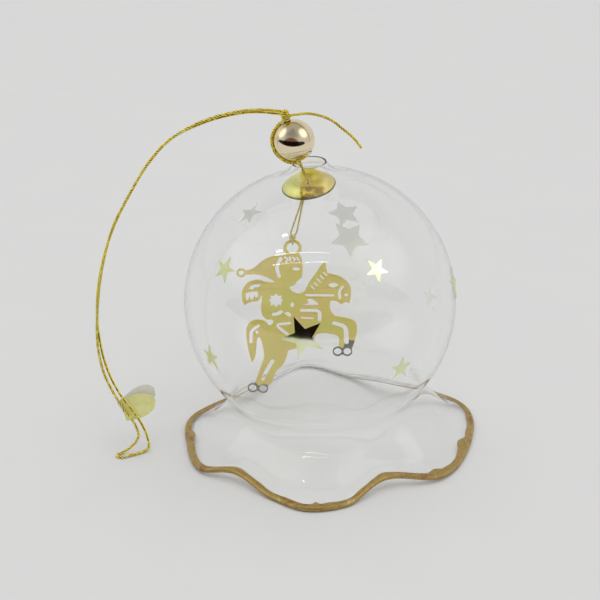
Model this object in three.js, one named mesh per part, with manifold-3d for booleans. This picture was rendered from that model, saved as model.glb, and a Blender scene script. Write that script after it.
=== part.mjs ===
// A blown-glass bell ornament that stands on its ruffled skirt, with a flat brass clapper hung inside.
// Millimetres, +Z up. The photographed side faces -Y. The origin is on the table, under the skirt.
import * as THREE from "three";
import { mergeVertices } from "three/addons/utils/BufferGeometryUtils.js";
import Module from "manifold-3d";

const wasm = await Module();
wasm.setup();

// Driving dimensions

const GAP = 0.3; // between pieces that touch on the real ornament
const DEG = Math.PI / 180;

const LEAN = 4.2 * DEG; // the glass stands a little crooked, its neck towards -X
const AXIS_Y = 0.85; // the globe's axis, in front to back, from the skirt's middle
const GLOBE_RADIUS = 32.3;
const WALL = 1.0;
const WAIST_RADIUS = 22.8;
const WAIST_HEIGHT = 12.8;
const WAIST_BLEND_OUT = 1.6; // from the waist to where the globe's round begins
const WAIST_BLEND_UP = 2.0;
const SHOULDER_RADIUS = 9.6; // where the globe is drawn up into its neck
const NECK_RISE = 4.9; // from the shoulder to the neck's mouth
const NECK_MOUTH_RADIUS = 4.0;
const MOUTH_ROUND = 0.45; // of the wall, rounded off at the mouth
const COLUMNS = 72; // of facets round the glass
const GLOBE_RINGS = 10;
const FLARE_STEPS = 6;
const NECK_STEPS = 4;
const RUFFLE_POWER = 1.3; // how late the ruffle sets in below the waist

// The skirt's curve up to the waist: shares of the way out from the waist and of its height.
const FLARE = [
  { out: 0.57, up: 0.24 },
  { out: 0.3, up: 0.5 },
  { out: 0.06, up: 0.77 },
];
// The neck's curve: shares of the way out from the mouth to the shoulder and of the neck's rise.
const NECK_CURVE = [
  { out: 0.54, up: 0.26 },
  { out: 0.16, up: 0.6 },
];

// The skirt's edge is free-blown: four lobes with a narrow raised valley between each pair.
// Each entry is a place on it: its angle from the front towards +X, the share of SKIRT_REACH that
// it lies from the middle, and its lift off the table.
const SKIRT_REACH = 37.5;
const SKIRT_EDGE = [
  { at: 340, reach: 0.9093, lift: 0.2 },
  { at: 354, reach: 1, lift: 0 },
  { at: 8, reach: 0.9547, lift: 0 },
  { at: 29, reach: 0.8027, lift: 2.2 },
  { at: 50, reach: 0.9547, lift: 0.7 },
  { at: 80, reach: 0.9547, lift: 0 },
  { at: 110, reach: 0.9973, lift: 0.5 },
  { at: 139, reach: 0.7147, lift: 3.2 },
  { at: 168, reach: 0.8213, lift: 0.2 },
  { at: 187, reach: 0.968, lift: 0 },
  { at: 203, reach: 0.8427, lift: 0.5 },
  { at: 231, reach: 0.6827, lift: 2.2 },
  { at: 258, reach: 0.864, lift: 0.3 },
  { at: 280, reach: 0.88, lift: 0 },
  { at: 303, reach: 0.9093, lift: 0.7 },
  { at: 318, reach: 0.8213, lift: 2.0 },
];
const FOOT_DROP = 0.25; // lift below which the edge lies flat on the table
const LIP_WIDTH = 1.5; // the gilt lip round the skirt's edge
const LIP_HEIGHT = 1.3;

const STAR_FOIL = 0.3;
const SMALL_STAR = 3.1; // from a star's centre to its tips
const BIG_STAR = 5.3;
const STAR_WAIST = 0.4; // inner corners, as a share of the tips
const STAR_POINTS = 5;
// Each star's place on the globe: azimuth from the front towards +X, height angle and turn, in degrees.
const STARS = [
  { name: "star_front_big", size: BIG_STAR, azimuth: -7.4, height: 9.9, turn: 47 },
  { name: "star_upper_left", size: SMALL_STAR, azimuth: -51.2, height: 29.7, turn: 4 },
  { name: "star_upper_right", size: SMALL_STAR, azimuth: 28.1, height: 34.9, turn: 41 },
  { name: "star_lower_left", size: SMALL_STAR, azimuth: -52.3, height: -9.3, turn: 68 },
  { name: "star_lower_right", size: SMALL_STAR, azimuth: 34.8, height: -8.5, turn: 3 },
  { name: "star_right_edge", size: SMALL_STAR * 1.3, azimuth: 82, height: 11, turn: 20 },
  { name: "star_back_low", size: BIG_STAR, azimuth: 166.3, height: 4.8, turn: 40 },
  { name: "star_back_high", size: SMALL_STAR * 1.4, azimuth: 168.3, height: 17.6, turn: 20, layer: 1 },
  { name: "star_back_left", size: SMALL_STAR * 1.2, azimuth: -144.6, height: 22.5, turn: 50 },
  { name: "star_back_right", size: SMALL_STAR, azimuth: 119.7, height: -11.9, turn: 10 },
];

const CAP_RADIUS = 6.2; // the spun metal cap that hangs under the neck
const CAP_SHEET = 0.4;
const CAP_CROWN_RADIUS = 3.8;
const CAP_CROWN_RISE = 1.7;
const CAP_HOLE_RADIUS = 1.05;
const CAP_HOLE_RISE = 0.4;
const CAP_DROP = 1.1; // of its rim's middle below the glass's shoulder, along the leaning axis
const CAP_ASIDE = 0.6; // how far the cord draws it off that axis, towards -X
const CAP_TIP_SIDE = 4.2 * DEG; // right side up, beyond the glass's own lean
const CAP_TIP_FRONT = 9 * DEG; // top towards the front
const CAP_FACETS = 28;
// The cap's curve, as shares: from the hole's edge up to the crown, and from the crown down to the rim.
const CAP_INNER_CURVE = [
  { out: 0.18, up: 0.08 },
  { out: 0.45, up: 0.63 },
  { out: 0.79, up: 0.96 },
];
const CAP_OUTER_CURVE = [
  { out: 0.29, up: 0.18 },
  { out: 0.75, up: 0.7 },
];

const BEAD_RADIUS = 5.0;
const BEAD_HOLE_RADIUS = 0.9;
const BEAD_ASIDE = 0.15; // how far its middle hangs out past the lip's crest, towards -X
const BEAD_TIP = 17 * DEG; // the hole's top leans towards -X
const BEAD_FACETS = 24;
const BEAD_RINGS = 11;

const CORD = 0.7; // metallic cord's diameter
const THREAD = 0.5; // the clapper's thread's diameter
const CORD_SIDES = 8;
const MOST_STEPS = 80; // along one cord
const KNOT_RADIUS = 1.15;
const KNOT_CORE = 0.72; // the lump inside a knot's turns, as a share of its radius
const KNOT_SEAT = 0.85; // how far a knot's middle stands above what it rests on, in radii
const KNOT_TURN_TIPS = [0.5, -0.7]; // how the two turns of a knot lie askew, in radians
const STOP_KNOT_RADIUS = 1.2; // more than the cap's hole, which it can't pass
const STOP_KNOT_FROM_HOLE = [-1.2, 0, -1.7];

// The cord through the bead, the neck and the cap's hole, from the top knot to the stop knot.
// Its points, and those of the next two cords, are measured from the bead's middle.
const CORE_ROUTE = [
  [-1.35, 0, 4.35],
  [-0.15, 0, 0.05],
  [1.4, 0, -5.05],
  [2.35, 0, -7.65],
  [3.25, 0, -9.55],
  [3.5, 0, -10.75],
  [3.1, 0, -11.45],
];
// The strand that hugs the bead's left side, passes in front of the neck's lip and drops in.
const WRAP_ROUTE = [
  [-3.3, -0.45, 5.45],
  [-4.3, -1.25, 3.75],
  [-5.0, -2.7, 1.25],
  [-4.1, -3.65, -2.05],
  [-1.6, -3.75, -4.25],
  [0.25, -3.85, -4.35],
  [1.95, -3.45, -4.15],
  [2.75, -2.25, -4.55],
  [2.95, -1.35, -5.85],
];
const TAIL_ROUTE = [
  [-0.35, -0.15, 6.25],
  [3.85, -0.55, 6.75],
  [8.45, -1.15, 5.55],
  [11.25, -1.45, 3.45],
  [13.75, -1.75, 1.35],
  [15.65, -2.05, -1.05],
];
// The hanging loop runs from the knot out to its end on the table and back, as one cord.
const LOOP_ROUTE = [
  [-12.4, 0.4, 83.9],
  [-18.8, -0.3, 84.4],
  [-28.1, -1.1, 82.6],
  [-36.6, -2.0, 78.3],
  [-41.8, -2.7, 72.9],
  [-46.7, -3.6, 65.1],
  [-50.9, -4.6, 56.8],
  [-53.6, -5.6, 47.1],
  [-55.0, -6.6, 36.7],
  [-55.2, -7.4, 27.8],
  [-53.8, -7.8, 20.3],
  [-51.3, -8.1, 14.6],
  [-48.8, -8.5, 10.6],
  [-46.7, -9.0, 7.2],
  [-46.2, -9.2, 4.6],
  [-47.6, -9.5, 2.3],
  [-50.0, -9.9, 0.6],
  [-51.4, -10.9, 0.42],
  [-50.4, -11.9, 0.42],
  [-47.6, -10.7, 0.42],
  [-44.9, -9.0, 0.42],
  [-43.9, -7.9, 1.0],
  [-44.1, -7.9, 3.6],
  [-45.5, -8.1, 7.7],
  [-47.7, -8.0, 11.4],
  [-50.3, -7.7, 15.2],
  [-52.9, -7.2, 20.8],
  [-54.6, -6.5, 27.9],
  [-55.2, -5.6, 36.7],
  [-53.8, -4.6, 47.0],
  [-50.7, -3.6, 56.8],
  [-46.5, -2.6, 65.1],
  [-42.0, -1.7, 72.5],
  [-36.8, -1.0, 77.9],
  [-27.9, 0.0, 82.0],
  [-18.8, 0.8, 83.9],
  [-12.4, 1.4, 83.3],
];

const TAG_LENGTH = 8.2; // of the folded foil tag's front leaf
const TAG_BACK_LENGTH = 9.4; // the fold is a little off its middle
const TAG_WIDTH = 6.2;
const TAG_SHEET = 0.25;
const TAG_FOLD_AT = [-49.75, -7.5, 10.45];
const TAG_FACE = [0.161, -0.97, 0.182]; // the way the front leaf faces
const TAG_ALONG = [0.94, 0.21, 0.27]; // from the fold along the front leaf
const TAG_OPENING = 12 * DEG;
const TAG_SKEW = 15 * DEG; // how far the back leaf is folded askew
const TAG_CREASE = 1.9; // length of the crease that joins the leaves
const TAG_FACETS = 20;

const CLAPPER_HEIGHT = 38.5; // from the ring's centre to the hoofs' lowest point
const CLAPPER_SHEET = 0.5;
const RING_FROM_STOP_KNOT = [-2.8, 0, -14]; // to the centre of the ring that the clapper hangs by
const TIE_RING = 1.1; // the tied thread's own ring, round the hanging ring's top
const TIE_KNOT_RADIUS = 0.75;
const TIE_KNOT_LIFT = 0.5; // of the tie's knot above its ring, in radii
// The hairpin of thread: shares of the way down, and of the strands' usual half spacing.
const THREAD_PATH = [
  { down: 0, aside: 1 },
  { down: 0.4, aside: 1.3 },
  { down: 0.8, aside: 1.15 },
  { down: 0.95, aside: 0.75 },
];

// Shared helpers

const point = ([x, y, z]) => new THREE.Vector3(x, y, z);

function material(color, metalness, roughness, opacity = 1) {
  return new THREE.MeshStandardMaterial({
    color,
    metalness,
    roughness,
    opacity,
    transparent: opacity < 1,
    side: THREE.DoubleSide,
  });
}

function mesh(name, geometry, look) {
  const made = new THREE.Mesh(geometry, look);
  made.name = name;
  return made;
}

function solid(geometry) {
  const bare = geometry.clone();
  bare.deleteAttribute("normal");
  bare.deleteAttribute("uv");
  const merged = mergeVertices(bare, 1e-4);
  return new wasm.Manifold(
    new wasm.Mesh({
      numProp: 3,
      vertProperties: new Float32Array(merged.attributes.position.array),
      triVerts: new Uint32Array(merged.index.array),
    }),
  );
}

function geometryOf(shape) {
  const { vertProperties, triVerts } = shape.getMesh();
  const made = new THREE.BufferGeometry();
  made.setAttribute("position", new THREE.BufferAttribute(vertProperties, 3));
  made.setIndex(new THREE.BufferAttribute(triVerts, 1));
  return made;
}

const joined = (geometries) => geometryOf(geometries.map(solid).reduce((a, b) => a.add(b)));

// A round cord along hand-chosen points.
function cordAlong(route, diameter, step = diameter * 2.4) {
  const ring = Array.from({ length: CORD_SIDES }, (_, i) => {
    const turn = ((i + 0.5) / CORD_SIDES) * 2 * Math.PI;
    return new THREE.Vector2((Math.cos(turn) * diameter) / 2, (Math.sin(turn) * diameter) / 2);
  });
  const extrudePath = new THREE.CatmullRomCurve3(route.map(point), false, "centripetal");
  const steps = Math.min(MOST_STEPS, Math.ceil(extrudePath.getLength() / step));
  return new THREE.ExtrudeGeometry(new THREE.Shape(ring), { steps, extrudePath });
}

// The glass bell

const GLOBE_HEIGHT =
  WAIST_HEIGHT + WAIST_BLEND_UP + Math.sqrt(GLOBE_RADIUS ** 2 - (WAIST_RADIUS + WAIST_BLEND_OUT) ** 2);
const SHOULDER_HEIGHT = GLOBE_HEIGHT + Math.sqrt(GLOBE_RADIUS ** 2 - SHOULDER_RADIUS ** 2);
const MOUTH_HEIGHT = SHOULDER_HEIGHT + NECK_RISE;

// A place on the glass's own leaning axis.
const onAxis = (height) =>
  new THREE.Vector3(-height * Math.sin(LEAN), AXIS_Y, height * Math.cos(LEAN));

const edgePlaces = SKIRT_EDGE.map(
  ({ at, reach, lift }) =>
    new THREE.Vector3(
      reach * SKIRT_REACH * Math.sin(at * DEG),
      -reach * SKIRT_REACH * Math.cos(at * DEG),
      lift,
    ),
);
const edgeLine = new THREE.CatmullRomCurve3(edgePlaces, true, "centripetal").getSpacedPoints(COLUMNS);
const edgeMiddle = new THREE.Box3().setFromPoints(edgeLine).getCenter(new THREE.Vector3());
// One entry for each column of facets: its direction, and its reach and lift at the skirt's edge.
const columns = edgeLine.slice(0, COLUMNS).map((place) => {
  const [x, y] = [place.x - edgeMiddle.x, place.y - edgeMiddle.y];
  return {
    angle: Math.atan2(x, -y),
    reach: Math.hypot(x, y),
    lift: Math.max(0, place.z - FOOT_DROP),
  };
});
const MEAN_REACH = columns.reduce((sum, { reach }) => sum + reach, 0) / COLUMNS;
// Where the glass stops and the gilt lip begins; slanting places on the ruffle take some of the gap.
const LIP_INSIDE = MEAN_REACH - LIP_WIDTH / 2 - GAP * 1.4;

// A place on the leaning glass, at a radius and a height along its axis: above the waist it is round,
// and below it the section swells into the ruffle and lies down flat on the table.
function onBell(radius, height, { angle, reach, lift }) {
  const share = THREE.MathUtils.clamp((WAIST_HEIGHT - height) / (WAIST_HEIGHT - LIP_HEIGHT), 0, 1);
  const ruffle = share ** RUFFLE_POWER;
  const out = radius + ruffle * (reach - MEAN_REACH);
  const tip = LEAN * (1 - ruffle);
  const side = out * Math.sin(angle);
  return new THREE.Vector3(
    side * Math.cos(tip) - height * Math.sin(LEAN),
    AXIS_Y * (1 - ruffle) - out * Math.cos(angle),
    height * Math.cos(LEAN * (1 - ruffle)) + side * Math.sin(tip) + ruffle * lift,
  );
}

// Turns a lathed profile into the ruffled, leaning form, one column at a time.
function ruffled(profile) {
  const made = new THREE.LatheGeometry([...profile, profile[0]], COLUMNS);
  const positions = made.attributes.position;
  const rows = profile.length + 1;
  for (let i = 0; i < positions.count; i++) {
    const row = profile[(i % rows) % profile.length];
    const column = columns[Math.floor(i / rows) % COLUMNS];
    positions.setXYZ(i, ...onBell(row.x, row.y, column));
  }
  return made;
}

// The outside of the glass from the skirt's edge up to the mouth.
function glassOutside() {
  const curve = (places, steps) =>
    new THREE.CatmullRomCurve3(
      places.map(([out, up]) => new THREE.Vector3(out, up, 0)),
      false,
      "centripetal",
    )
      .getPoints(steps)
      .map(({ x, y }) => new THREE.Vector2(x, y));
  const flareWidth = MEAN_REACH - WAIST_RADIUS;
  const flare = curve(
    [
      [LIP_INSIDE, LIP_HEIGHT],
      ...FLARE.map(({ out, up }) => [WAIST_RADIUS + out * flareWidth, up * WAIST_HEIGHT]),
      [WAIST_RADIUS, WAIST_HEIGHT],
    ],
    FLARE_STEPS,
  );
  const low = -Math.acos((WAIST_RADIUS + WAIST_BLEND_OUT) / GLOBE_RADIUS);
  const high = Math.acos(SHOULDER_RADIUS / GLOBE_RADIUS);
  const globe = Array.from({ length: GLOBE_RINGS }, (_, i) => {
    const rise = THREE.MathUtils.lerp(low, high, i / (GLOBE_RINGS - 1));
    return new THREE.Vector2(
      GLOBE_RADIUS * Math.cos(rise),
      GLOBE_HEIGHT + GLOBE_RADIUS * Math.sin(rise),
    );
  });
  const neckWidth = SHOULDER_RADIUS - NECK_MOUTH_RADIUS;
  const neck = curve(
    [
      [SHOULDER_RADIUS, SHOULDER_HEIGHT],
      ...NECK_CURVE.map(({ out, up }) => [
        NECK_MOUTH_RADIUS + out * neckWidth,
        SHOULDER_HEIGHT + up * NECK_RISE,
      ]),
      [NECK_MOUTH_RADIUS, MOUTH_HEIGHT - WALL * MOUTH_ROUND],
    ],
    NECK_STEPS,
  );
  return [...flare.slice(0, -1), ...globe, ...neck.slice(1)];
}

// The inside follows the outside at the wall's thickness.
function glassProfile() {
  const outside = glassOutside();
  const inside = outside.map((place, i) => {
    const before = outside[Math.max(0, i - 1)];
    const after = outside[Math.min(outside.length - 1, i + 1)];
    const along = after.clone().sub(before).normalize();
    return new THREE.Vector2(place.x - along.y * WALL, place.y + along.x * WALL);
  });
  const mouth = outside.at(-1);
  const lip = new THREE.Vector2(mouth.x - WALL * MOUTH_ROUND, MOUTH_HEIGHT);
  inside[0].set(LIP_INSIDE, LIP_HEIGHT - WALL);
  return [...outside, lip, ...inside.reverse()];
}

function giltLip() {
  const half = LIP_WIDTH / 2;
  const flatHalf = half * 0.6;
  const section = [
    [-flatHalf, 0],
    [flatHalf, 0],
    [half, LIP_HEIGHT * 0.3],
    [half, LIP_HEIGHT * 0.7],
    [flatHalf, LIP_HEIGHT],
    [-flatHalf, LIP_HEIGHT],
    [-half, LIP_HEIGHT * 0.7],
    [-half, LIP_HEIGHT * 0.3],
  ];
  return ruffled(section.map(([out, up]) => new THREE.Vector2(MEAN_REACH + out, up)));
}

// The foil stars

function starShape(size) {
  const corners = Array.from({ length: STAR_POINTS * 2 }, (_, i) => {
    const reach = i % 2 ? size * STAR_WAIST : size;
    const turn = (i / STAR_POINTS) * Math.PI;
    return new THREE.Vector2(reach * Math.sin(turn), reach * Math.cos(turn));
  });
  return new THREE.Shape(corners);
}

function star({ name, size, azimuth, height, turn, layer = 0 }) {
  const made = mesh(
    name,
    new THREE.ExtrudeGeometry(starShape(size), { depth: STAR_FOIL, bevelEnabled: false }),
    material(0xd2dc8c, 1, 0.2),
  );
  made.position.z = GLOBE_RADIUS + GAP + layer * (STAR_FOIL + GAP);
  made.rotation.z = -turn * DEG;
  const tilted = new THREE.Group().add(made);
  tilted.rotation.x = (90 - height) * DEG;
  const turned = new THREE.Group().add(tilted);
  turned.rotation.z = azimuth * DEG;
  turned.position.copy(onAxis(GLOBE_HEIGHT));
  return turned;
}

// The cap, the bead and the knots

function capShell() {
  const hole = new THREE.Vector2(CAP_HOLE_RADIUS, CAP_HOLE_RISE);
  const crown = new THREE.Vector2(CAP_CROWN_RADIUS, CAP_CROWN_RISE);
  const rim = new THREE.Vector2(CAP_RADIUS, 0);
  const between = (from, to, shares) =>
    shares.map(
      ({ out, up }) =>
        new THREE.Vector2(
          THREE.MathUtils.lerp(from.x, to.x, out),
          THREE.MathUtils.lerp(from.y, to.y, up),
        ),
    );
  const top = [
    hole,
    ...between(hole, crown, CAP_INNER_CURVE),
    crown,
    ...between(crown, rim, CAP_OUTER_CURVE),
    rim,
  ];
  const under = top.map(({ x, y }) => new THREE.Vector2(x, y - CAP_SHEET));
  return new THREE.LatheGeometry([...under, ...top.reverse(), under[0]], CAP_FACETS);
}

function bead() {
  const end = Math.acos(BEAD_HOLE_RADIUS / BEAD_RADIUS);
  const outside = Array.from({ length: BEAD_RINGS }, (_, i) => {
    const rise = THREE.MathUtils.lerp(-end, end, i / (BEAD_RINGS - 1));
    return new THREE.Vector2(BEAD_RADIUS * Math.cos(rise), BEAD_RADIUS * Math.sin(rise));
  });
  return new THREE.LatheGeometry([...outside, outside[0]], BEAD_FACETS);
}

// A pulled-tight overhand knot: a small lump with two turns of cord round it.
function knot(radius, diameter) {
  const turns = KNOT_TURN_TIPS.map((tip) =>
    new THREE.TorusGeometry(radius - diameter / 2, diameter / 2, 6, 14).rotateX(Math.PI / 2 + tip),
  );
  return joined([new THREE.SphereGeometry(radius * KNOT_CORE, 10, 8), ...turns]);
}

// The foil tag

function foilTag() {
  const leaf = (length) => {
    const outline = new THREE.Shape();
    outline.absellipse(length / 2, 0, length / 2, TAG_WIDTH / 2, 0, 2 * Math.PI);
    const made = new THREE.ExtrudeGeometry(outline, {
      depth: TAG_SHEET,
      bevelEnabled: false,
      curveSegments: TAG_FACETS,
    });
    return made.translate(0, 0, -TAG_SHEET / 2);
  };
  const back = leaf(TAG_BACK_LENGTH).rotateY(TAG_OPENING).rotateZ(TAG_SKEW);
  const crease = new THREE.CylinderGeometry(TAG_SHEET, TAG_SHEET, TAG_CREASE, CORD_SIDES);
  return joined([leaf(TAG_LENGTH), back, crease]);
}

// The clapper: a flat plate cut as a rider in a stocking cap on a prancing horse, a traditional
// figure. It is drawn 38.5 units tall, from the centre of the ring that it hangs by.

const DRAWN_HEIGHT = 38.5;
const drawn = CLAPPER_HEIGHT / DRAWN_HEIGHT;
const RING_OUTER = 2.25;
const RING_INNER = 1.4;
const HOOF_OUTER = 1.2;
const HOOF_INNER = 0.72;
const HIND_HOOFS = [
  { at: [-9.5, -37.1], from: 70, to: 322 },
  { at: [-7, -37.3], from: 215, to: 390 },
];
const FORE_HOOFS = [
  { at: [11.1, -27.2], from: 88, to: 320 },
  { at: [13.4, -27.2], from: 220, to: 390 },
];

// An outline is gathered point by point: a smooth run starts where the last run ended.
const FACET = 0.95; // longest side along a smooth run

function smooth(outline, ...places) {
  const through = places.map(([x, y]) => new THREE.Vector2(x, y));
  const run = new THREE.SplineCurve([outline.at(-1), ...through]);
  outline.push(...run.getSpacedPoints(Math.ceil(run.getLength() / FACET)).slice(1));
}

function arc(outline, [x, y], radius, from, to, sides) {
  for (let i = 0; i <= sides; i++) {
    const turn = THREE.MathUtils.lerp(from, to, i / sides) * DEG;
    outline.push(new THREE.Vector2(x + radius * Math.cos(turn), y + radius * Math.sin(turn)));
  }
}

function clapperOutline() {
  const line = [];
  arc(line, [0, 0], RING_OUTER, -45, 225, 18);
  smooth(line, [-2.7, -2.3], [-4.4, -2.4], [-6.9, -3.6], [-8.9, -5.4], [-10.6, -6.1]);
  arc(line, [-11.9, -6.7], 1.15, 30, 335, 12);
  smooth(line, [-8.4, -7.1], [-6.1, -7.7], [-3.5, -9.3]);
  smooth(line, [-5.6, -9.2], [-8.2, -8.5], [-10.4, -9.3], [-11.7, -11.4], [-11.8, -13.6], [-11.3, -15.1]);
  smooth(line, [-9.8, -14.3], [-8.1, -14.1]);
  smooth(line, [-7.6, -13.5], [-7.1, -12.4]);
  smooth(line, [-7.1, -14], [-7.3, -16], [-6.9, -17.9], [-5.9, -18.9]);
  smooth(line, [-4.6, -19], [-4.5, -20], [-5.3, -20.6]);
  smooth(line, [-6.6, -19.3], [-8.2, -19], [-9.9, -19.6], [-10.8, -21.3], [-10.9, -23.5]);
  smooth(line, [-10.4, -27.2], [-9.6, -30.6]);
  smooth(line, [-8.8, -28.8], [-8.5, -26.2], [-8.2, -23.9], [-7.7, -23.4]);
  smooth(line, [-7.1, -25.3], [-6.7, -28.9], [-7.4, -31.2], [-8.2, -33.6], [-8.9, -35.8]);
  for (const { at, from, to } of HIND_HOOFS) arc(line, at, HOOF_OUTER, from, to, 9);
  smooth(line, [-4.8, -35.6], [-3.8, -33], [-2.1, -31], [-1.3, -29.1], [-0.8, -27.2]);
  smooth(line, [0.6, -26.7], [3.2, -25.9], [5, -24.7], [6, -22.9], [7.4, -22.5], [9.9, -22.8]);
  smooth(line, [11.1, -23.3], [11.4, -24.3], [11.3, -25.8]);
  for (const { at, from, to } of FORE_HOOFS) arc(line, at, HOOF_OUTER, from, to, 9);
  smooth(line, [15.2, -24.4], [15.7, -21.1], [15.2, -19.5], [14.3, -18.9], [12.3, -18.4], [10.3, -18]);
  smooth(line, [9.5, -16.9], [9.1, -15.3], [9.3, -13.9]);
  smooth(line, [10.6, -14], [11.8, -14.9]);
  smooth(line, [12.8, -14.3], [13.8, -14.6]);
  smooth(line, [14.1, -12.8], [14, -10.5], [13, -8.8], [11.4, -7.6], [9.8, -7.1], [8.5, -6.8]);
  smooth(line, [8.2, -5.4], [8.1, -3.8]);
  smooth(line, [7.2, -4.5], [5.8, -6.8], [4.3, -9], [3.1, -11.6]);
  smooth(line, [1.8, -12.1], [0.3, -11.6], [-0.6, -10.4]);
  smooth(line, [0.8, -9.7], [1.3, -8.9], [2.4, -7.8], [2.6, -6.3], [2.6, -4.1], [2.3, -2.7]);
  return new THREE.Shape(line);
}

// A long narrow opening with round ends, along two or three places.
function slot(width, ...places) {
  const line = places.map(([x, y]) => new THREE.Vector2(x, y));
  const side = (list) =>
    list.map((place, i) => {
      const along = list[Math.min(i + 1, list.length - 1)]
        .clone()
        .sub(list[Math.max(i - 1, 0)])
        .normalize();
      return new THREE.Vector2(place.x - (along.y * width) / 2, place.y + (along.x * width) / 2);
    });
  const there = side(line);
  const back = side([...line].reverse());
  const tip = (from, to) =>
    to.clone().add(to.clone().sub(from).normalize().multiplyScalar(width * 0.45));
  return new THREE.Path([
    ...there,
    tip(line.at(-2), line.at(-1)),
    ...back,
    tip(line[1], line[0]),
  ]);
}

function hole([x, y], radius, tall = radius) {
  const sides = Math.max(6, Math.round(radius * 12));
  return new THREE.Path(
    Array.from({ length: sides }, (_, i) => {
      const turn = (i / sides) * 2 * Math.PI;
      return new THREE.Vector2(x + radius * Math.cos(turn), y + tall * Math.sin(turn));
    }),
  );
}

const patch = (...places) => new THREE.Path(places.map(([x, y]) => new THREE.Vector2(x, y)));

// A flower with pointed petals.
function flower([x, y], petals, outer, inner) {
  return new THREE.Path(
    Array.from({ length: petals * 2 }, (_, i) => {
      const reach = i % 2 ? inner : outer;
      const turn = (i / petals) * Math.PI;
      return new THREE.Vector2(x + reach * Math.cos(turn), y + reach * Math.sin(turn));
    }),
  );
}

function clapperOpenings() {
  const mane = Array.from({ length: 5 }, (_, i) => {
    const [x, y] = [4.8 + i * 0.72, -10.5 + i * 0.9];
    return slot(0.36, [x - 0.15, y + 0.35], [x + 0.6, y - 0.45]);
  });
  return [
    hole([0, 0], RING_INNER),
    hole([-11.9, -6.7], 0.65),
    slot(0.6, [-2.6, -3.3], [-3.3, -5.2], [-2.9, -7.6]), // the cap's trim
    hole([-0.9, -3.1], 0.34), // curls
    hole([0.1, -3.5], 0.34),
    hole([1.1, -3.1], 0.34),
    hole([1.1, -5.6], 0.6, 0.22), // a plain eye
    slot(0.5, [-9.3, -9.9], [-7.6, -10.1]), // the cape's folds
    slot(0.6, [-10.7, -11.4], [-8.4, -11.5]),
    slot(0.6, [-10.9, -13], [-8.6, -12.9]),
    flower([-3.7, -13.8], 8, 1.85, 1.25),
    slot(0.65, [-4.8, -17.5], [-3.3, -17.4], [-2.3, -16.6]), // the leaf under it
    hole([0.2, -15.1], 0.45, 0.7), // buttons
    hole([-0.9, -17.5], 0.5, 0.6),
    slot(0.55, [3.6, -12.6], [9.8, -12.6]), // the rein
    patch([2.4, -14.7], [4, -14.1], [4.3, -13.3], [5.4, -13.9], [6.4, -15], [4.6, -15.1]),
    slot(0.6, [2.2, -16.3], [6.6, -16.8], [6.7, -18.9]), // the boot
    slot(0.45, [2.2, -18.4], [5, -18.5]),
    slot(0.6, [-0.3, -19.9], [-3.2, -20.4], [-1.1, -22.7]), // the saddle cloth
    slot(0.55, [-7.6, -20.2], [-9.5, -21.6], [-9.8, -25]), // the tail
    slot(0.65, [-4.7, -29.7], [-6.2, -32.6], [-7.1, -34.9]), // between the hind legs
    slot(0.8, [10.2, -19.7], [12.8, -21], [13.1, -24.9]), // between the fore legs
    hole([9.9, -9.8], 1.0, 0.42), // the horse's eye
    slot(0.45, [12.1, -10.2], [11.4, -11.6], [11.5, -13.4]), // the bridle
    hole([13.1, -12.5], 0.32),
    ...[...HIND_HOOFS, ...FORE_HOOFS].map(({ at }) => hole(at, HOOF_INNER)),
    ...mane,
  ];
}

function clapperPlate() {
  const outline = clapperOutline();
  outline.holes = clapperOpenings();
  const made = new THREE.ExtrudeGeometry(outline, {
    depth: CLAPPER_SHEET / drawn,
    bevelEnabled: false,
  });
  made.translate(0, 0, -CLAPPER_SHEET / drawn / 2);
  return made.scale(drawn, drawn, drawn).rotateX(Math.PI / 2);
}

// The thread ties round the hanging ring's top, with its knot on top.
const BAR_RISE = ((RING_OUTER + RING_INNER) / 2) * drawn;
const TIE_KNOT_RISE = BAR_RISE + TIE_RING + TIE_KNOT_RADIUS * TIE_KNOT_LIFT;
const TIE_TOP = TIE_KNOT_RISE + TIE_KNOT_RADIUS;

function tieKnot() {
  const loop = new THREE.TorusGeometry(TIE_RING, THREAD / 2, 6, 16)
    .rotateY(Math.PI / 2)
    .translate(0, 0, BAR_RISE);
  const lump = new THREE.SphereGeometry(TIE_KNOT_RADIUS, 10, 8).translate(0, 0, TIE_KNOT_RISE);
  return joined([loop, lump]);
}

// The clapper's thread is one hairpin: down from the stop knot, round above the tie and up again.
function threadLoop() {
  const foot = ringAt.clone().add(new THREE.Vector3(0, 0, TIE_TOP + GAP + THREAD / 2));
  const top = stopKnotAt.clone().add(new THREE.Vector3(0, 0, -STOP_KNOT_RADIUS - GAP));
  const halfSpacing = THREAD / 2 + GAP * 0.75;
  const strand = (side) =>
    THREAD_PATH.map(({ down, aside }) => {
      const place = top.clone().lerp(foot, down);
      return [place.x + side * aside * halfSpacing, place.y, place.z];
    });
  const route = [...strand(1), foot.toArray(), ...strand(-1).reverse()];
  return cordAlong(route, THREAD, THREAD);
}

// The assembly

const glassLook = () => material(0xe9eeec, 0, 0.05, 0.35);
const cordLook = () => material(0xc8a832, 0.6, 0.45);
const goldLook = () => material(0xcdbe55, 1, 0.25);
const threadLook = () => material(0xb89838, 0.5, 0.5);

const ornament = new THREE.Group();
ornament.add(mesh("glass_bell", ruffled(glassProfile()), glassLook()));
ornament.add(mesh("gilt_rim", giltLip(), material(0xa08448, 0.8, 0.45)));
for (const place of STARS) ornament.add(star(place));

const capAt = onAxis(SHOULDER_HEIGHT - CAP_DROP);
capAt.x -= CAP_ASIDE;
const capMesh = mesh("gold_cap", capShell(), goldLook());
capMesh.rotation.x = Math.PI / 2;
const cap = new THREE.Group().add(capMesh);
cap.position.copy(capAt);
cap.rotation.set(CAP_TIP_FRONT, -(LEAN + CAP_TIP_SIDE), 0);
ornament.add(cap);

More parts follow.
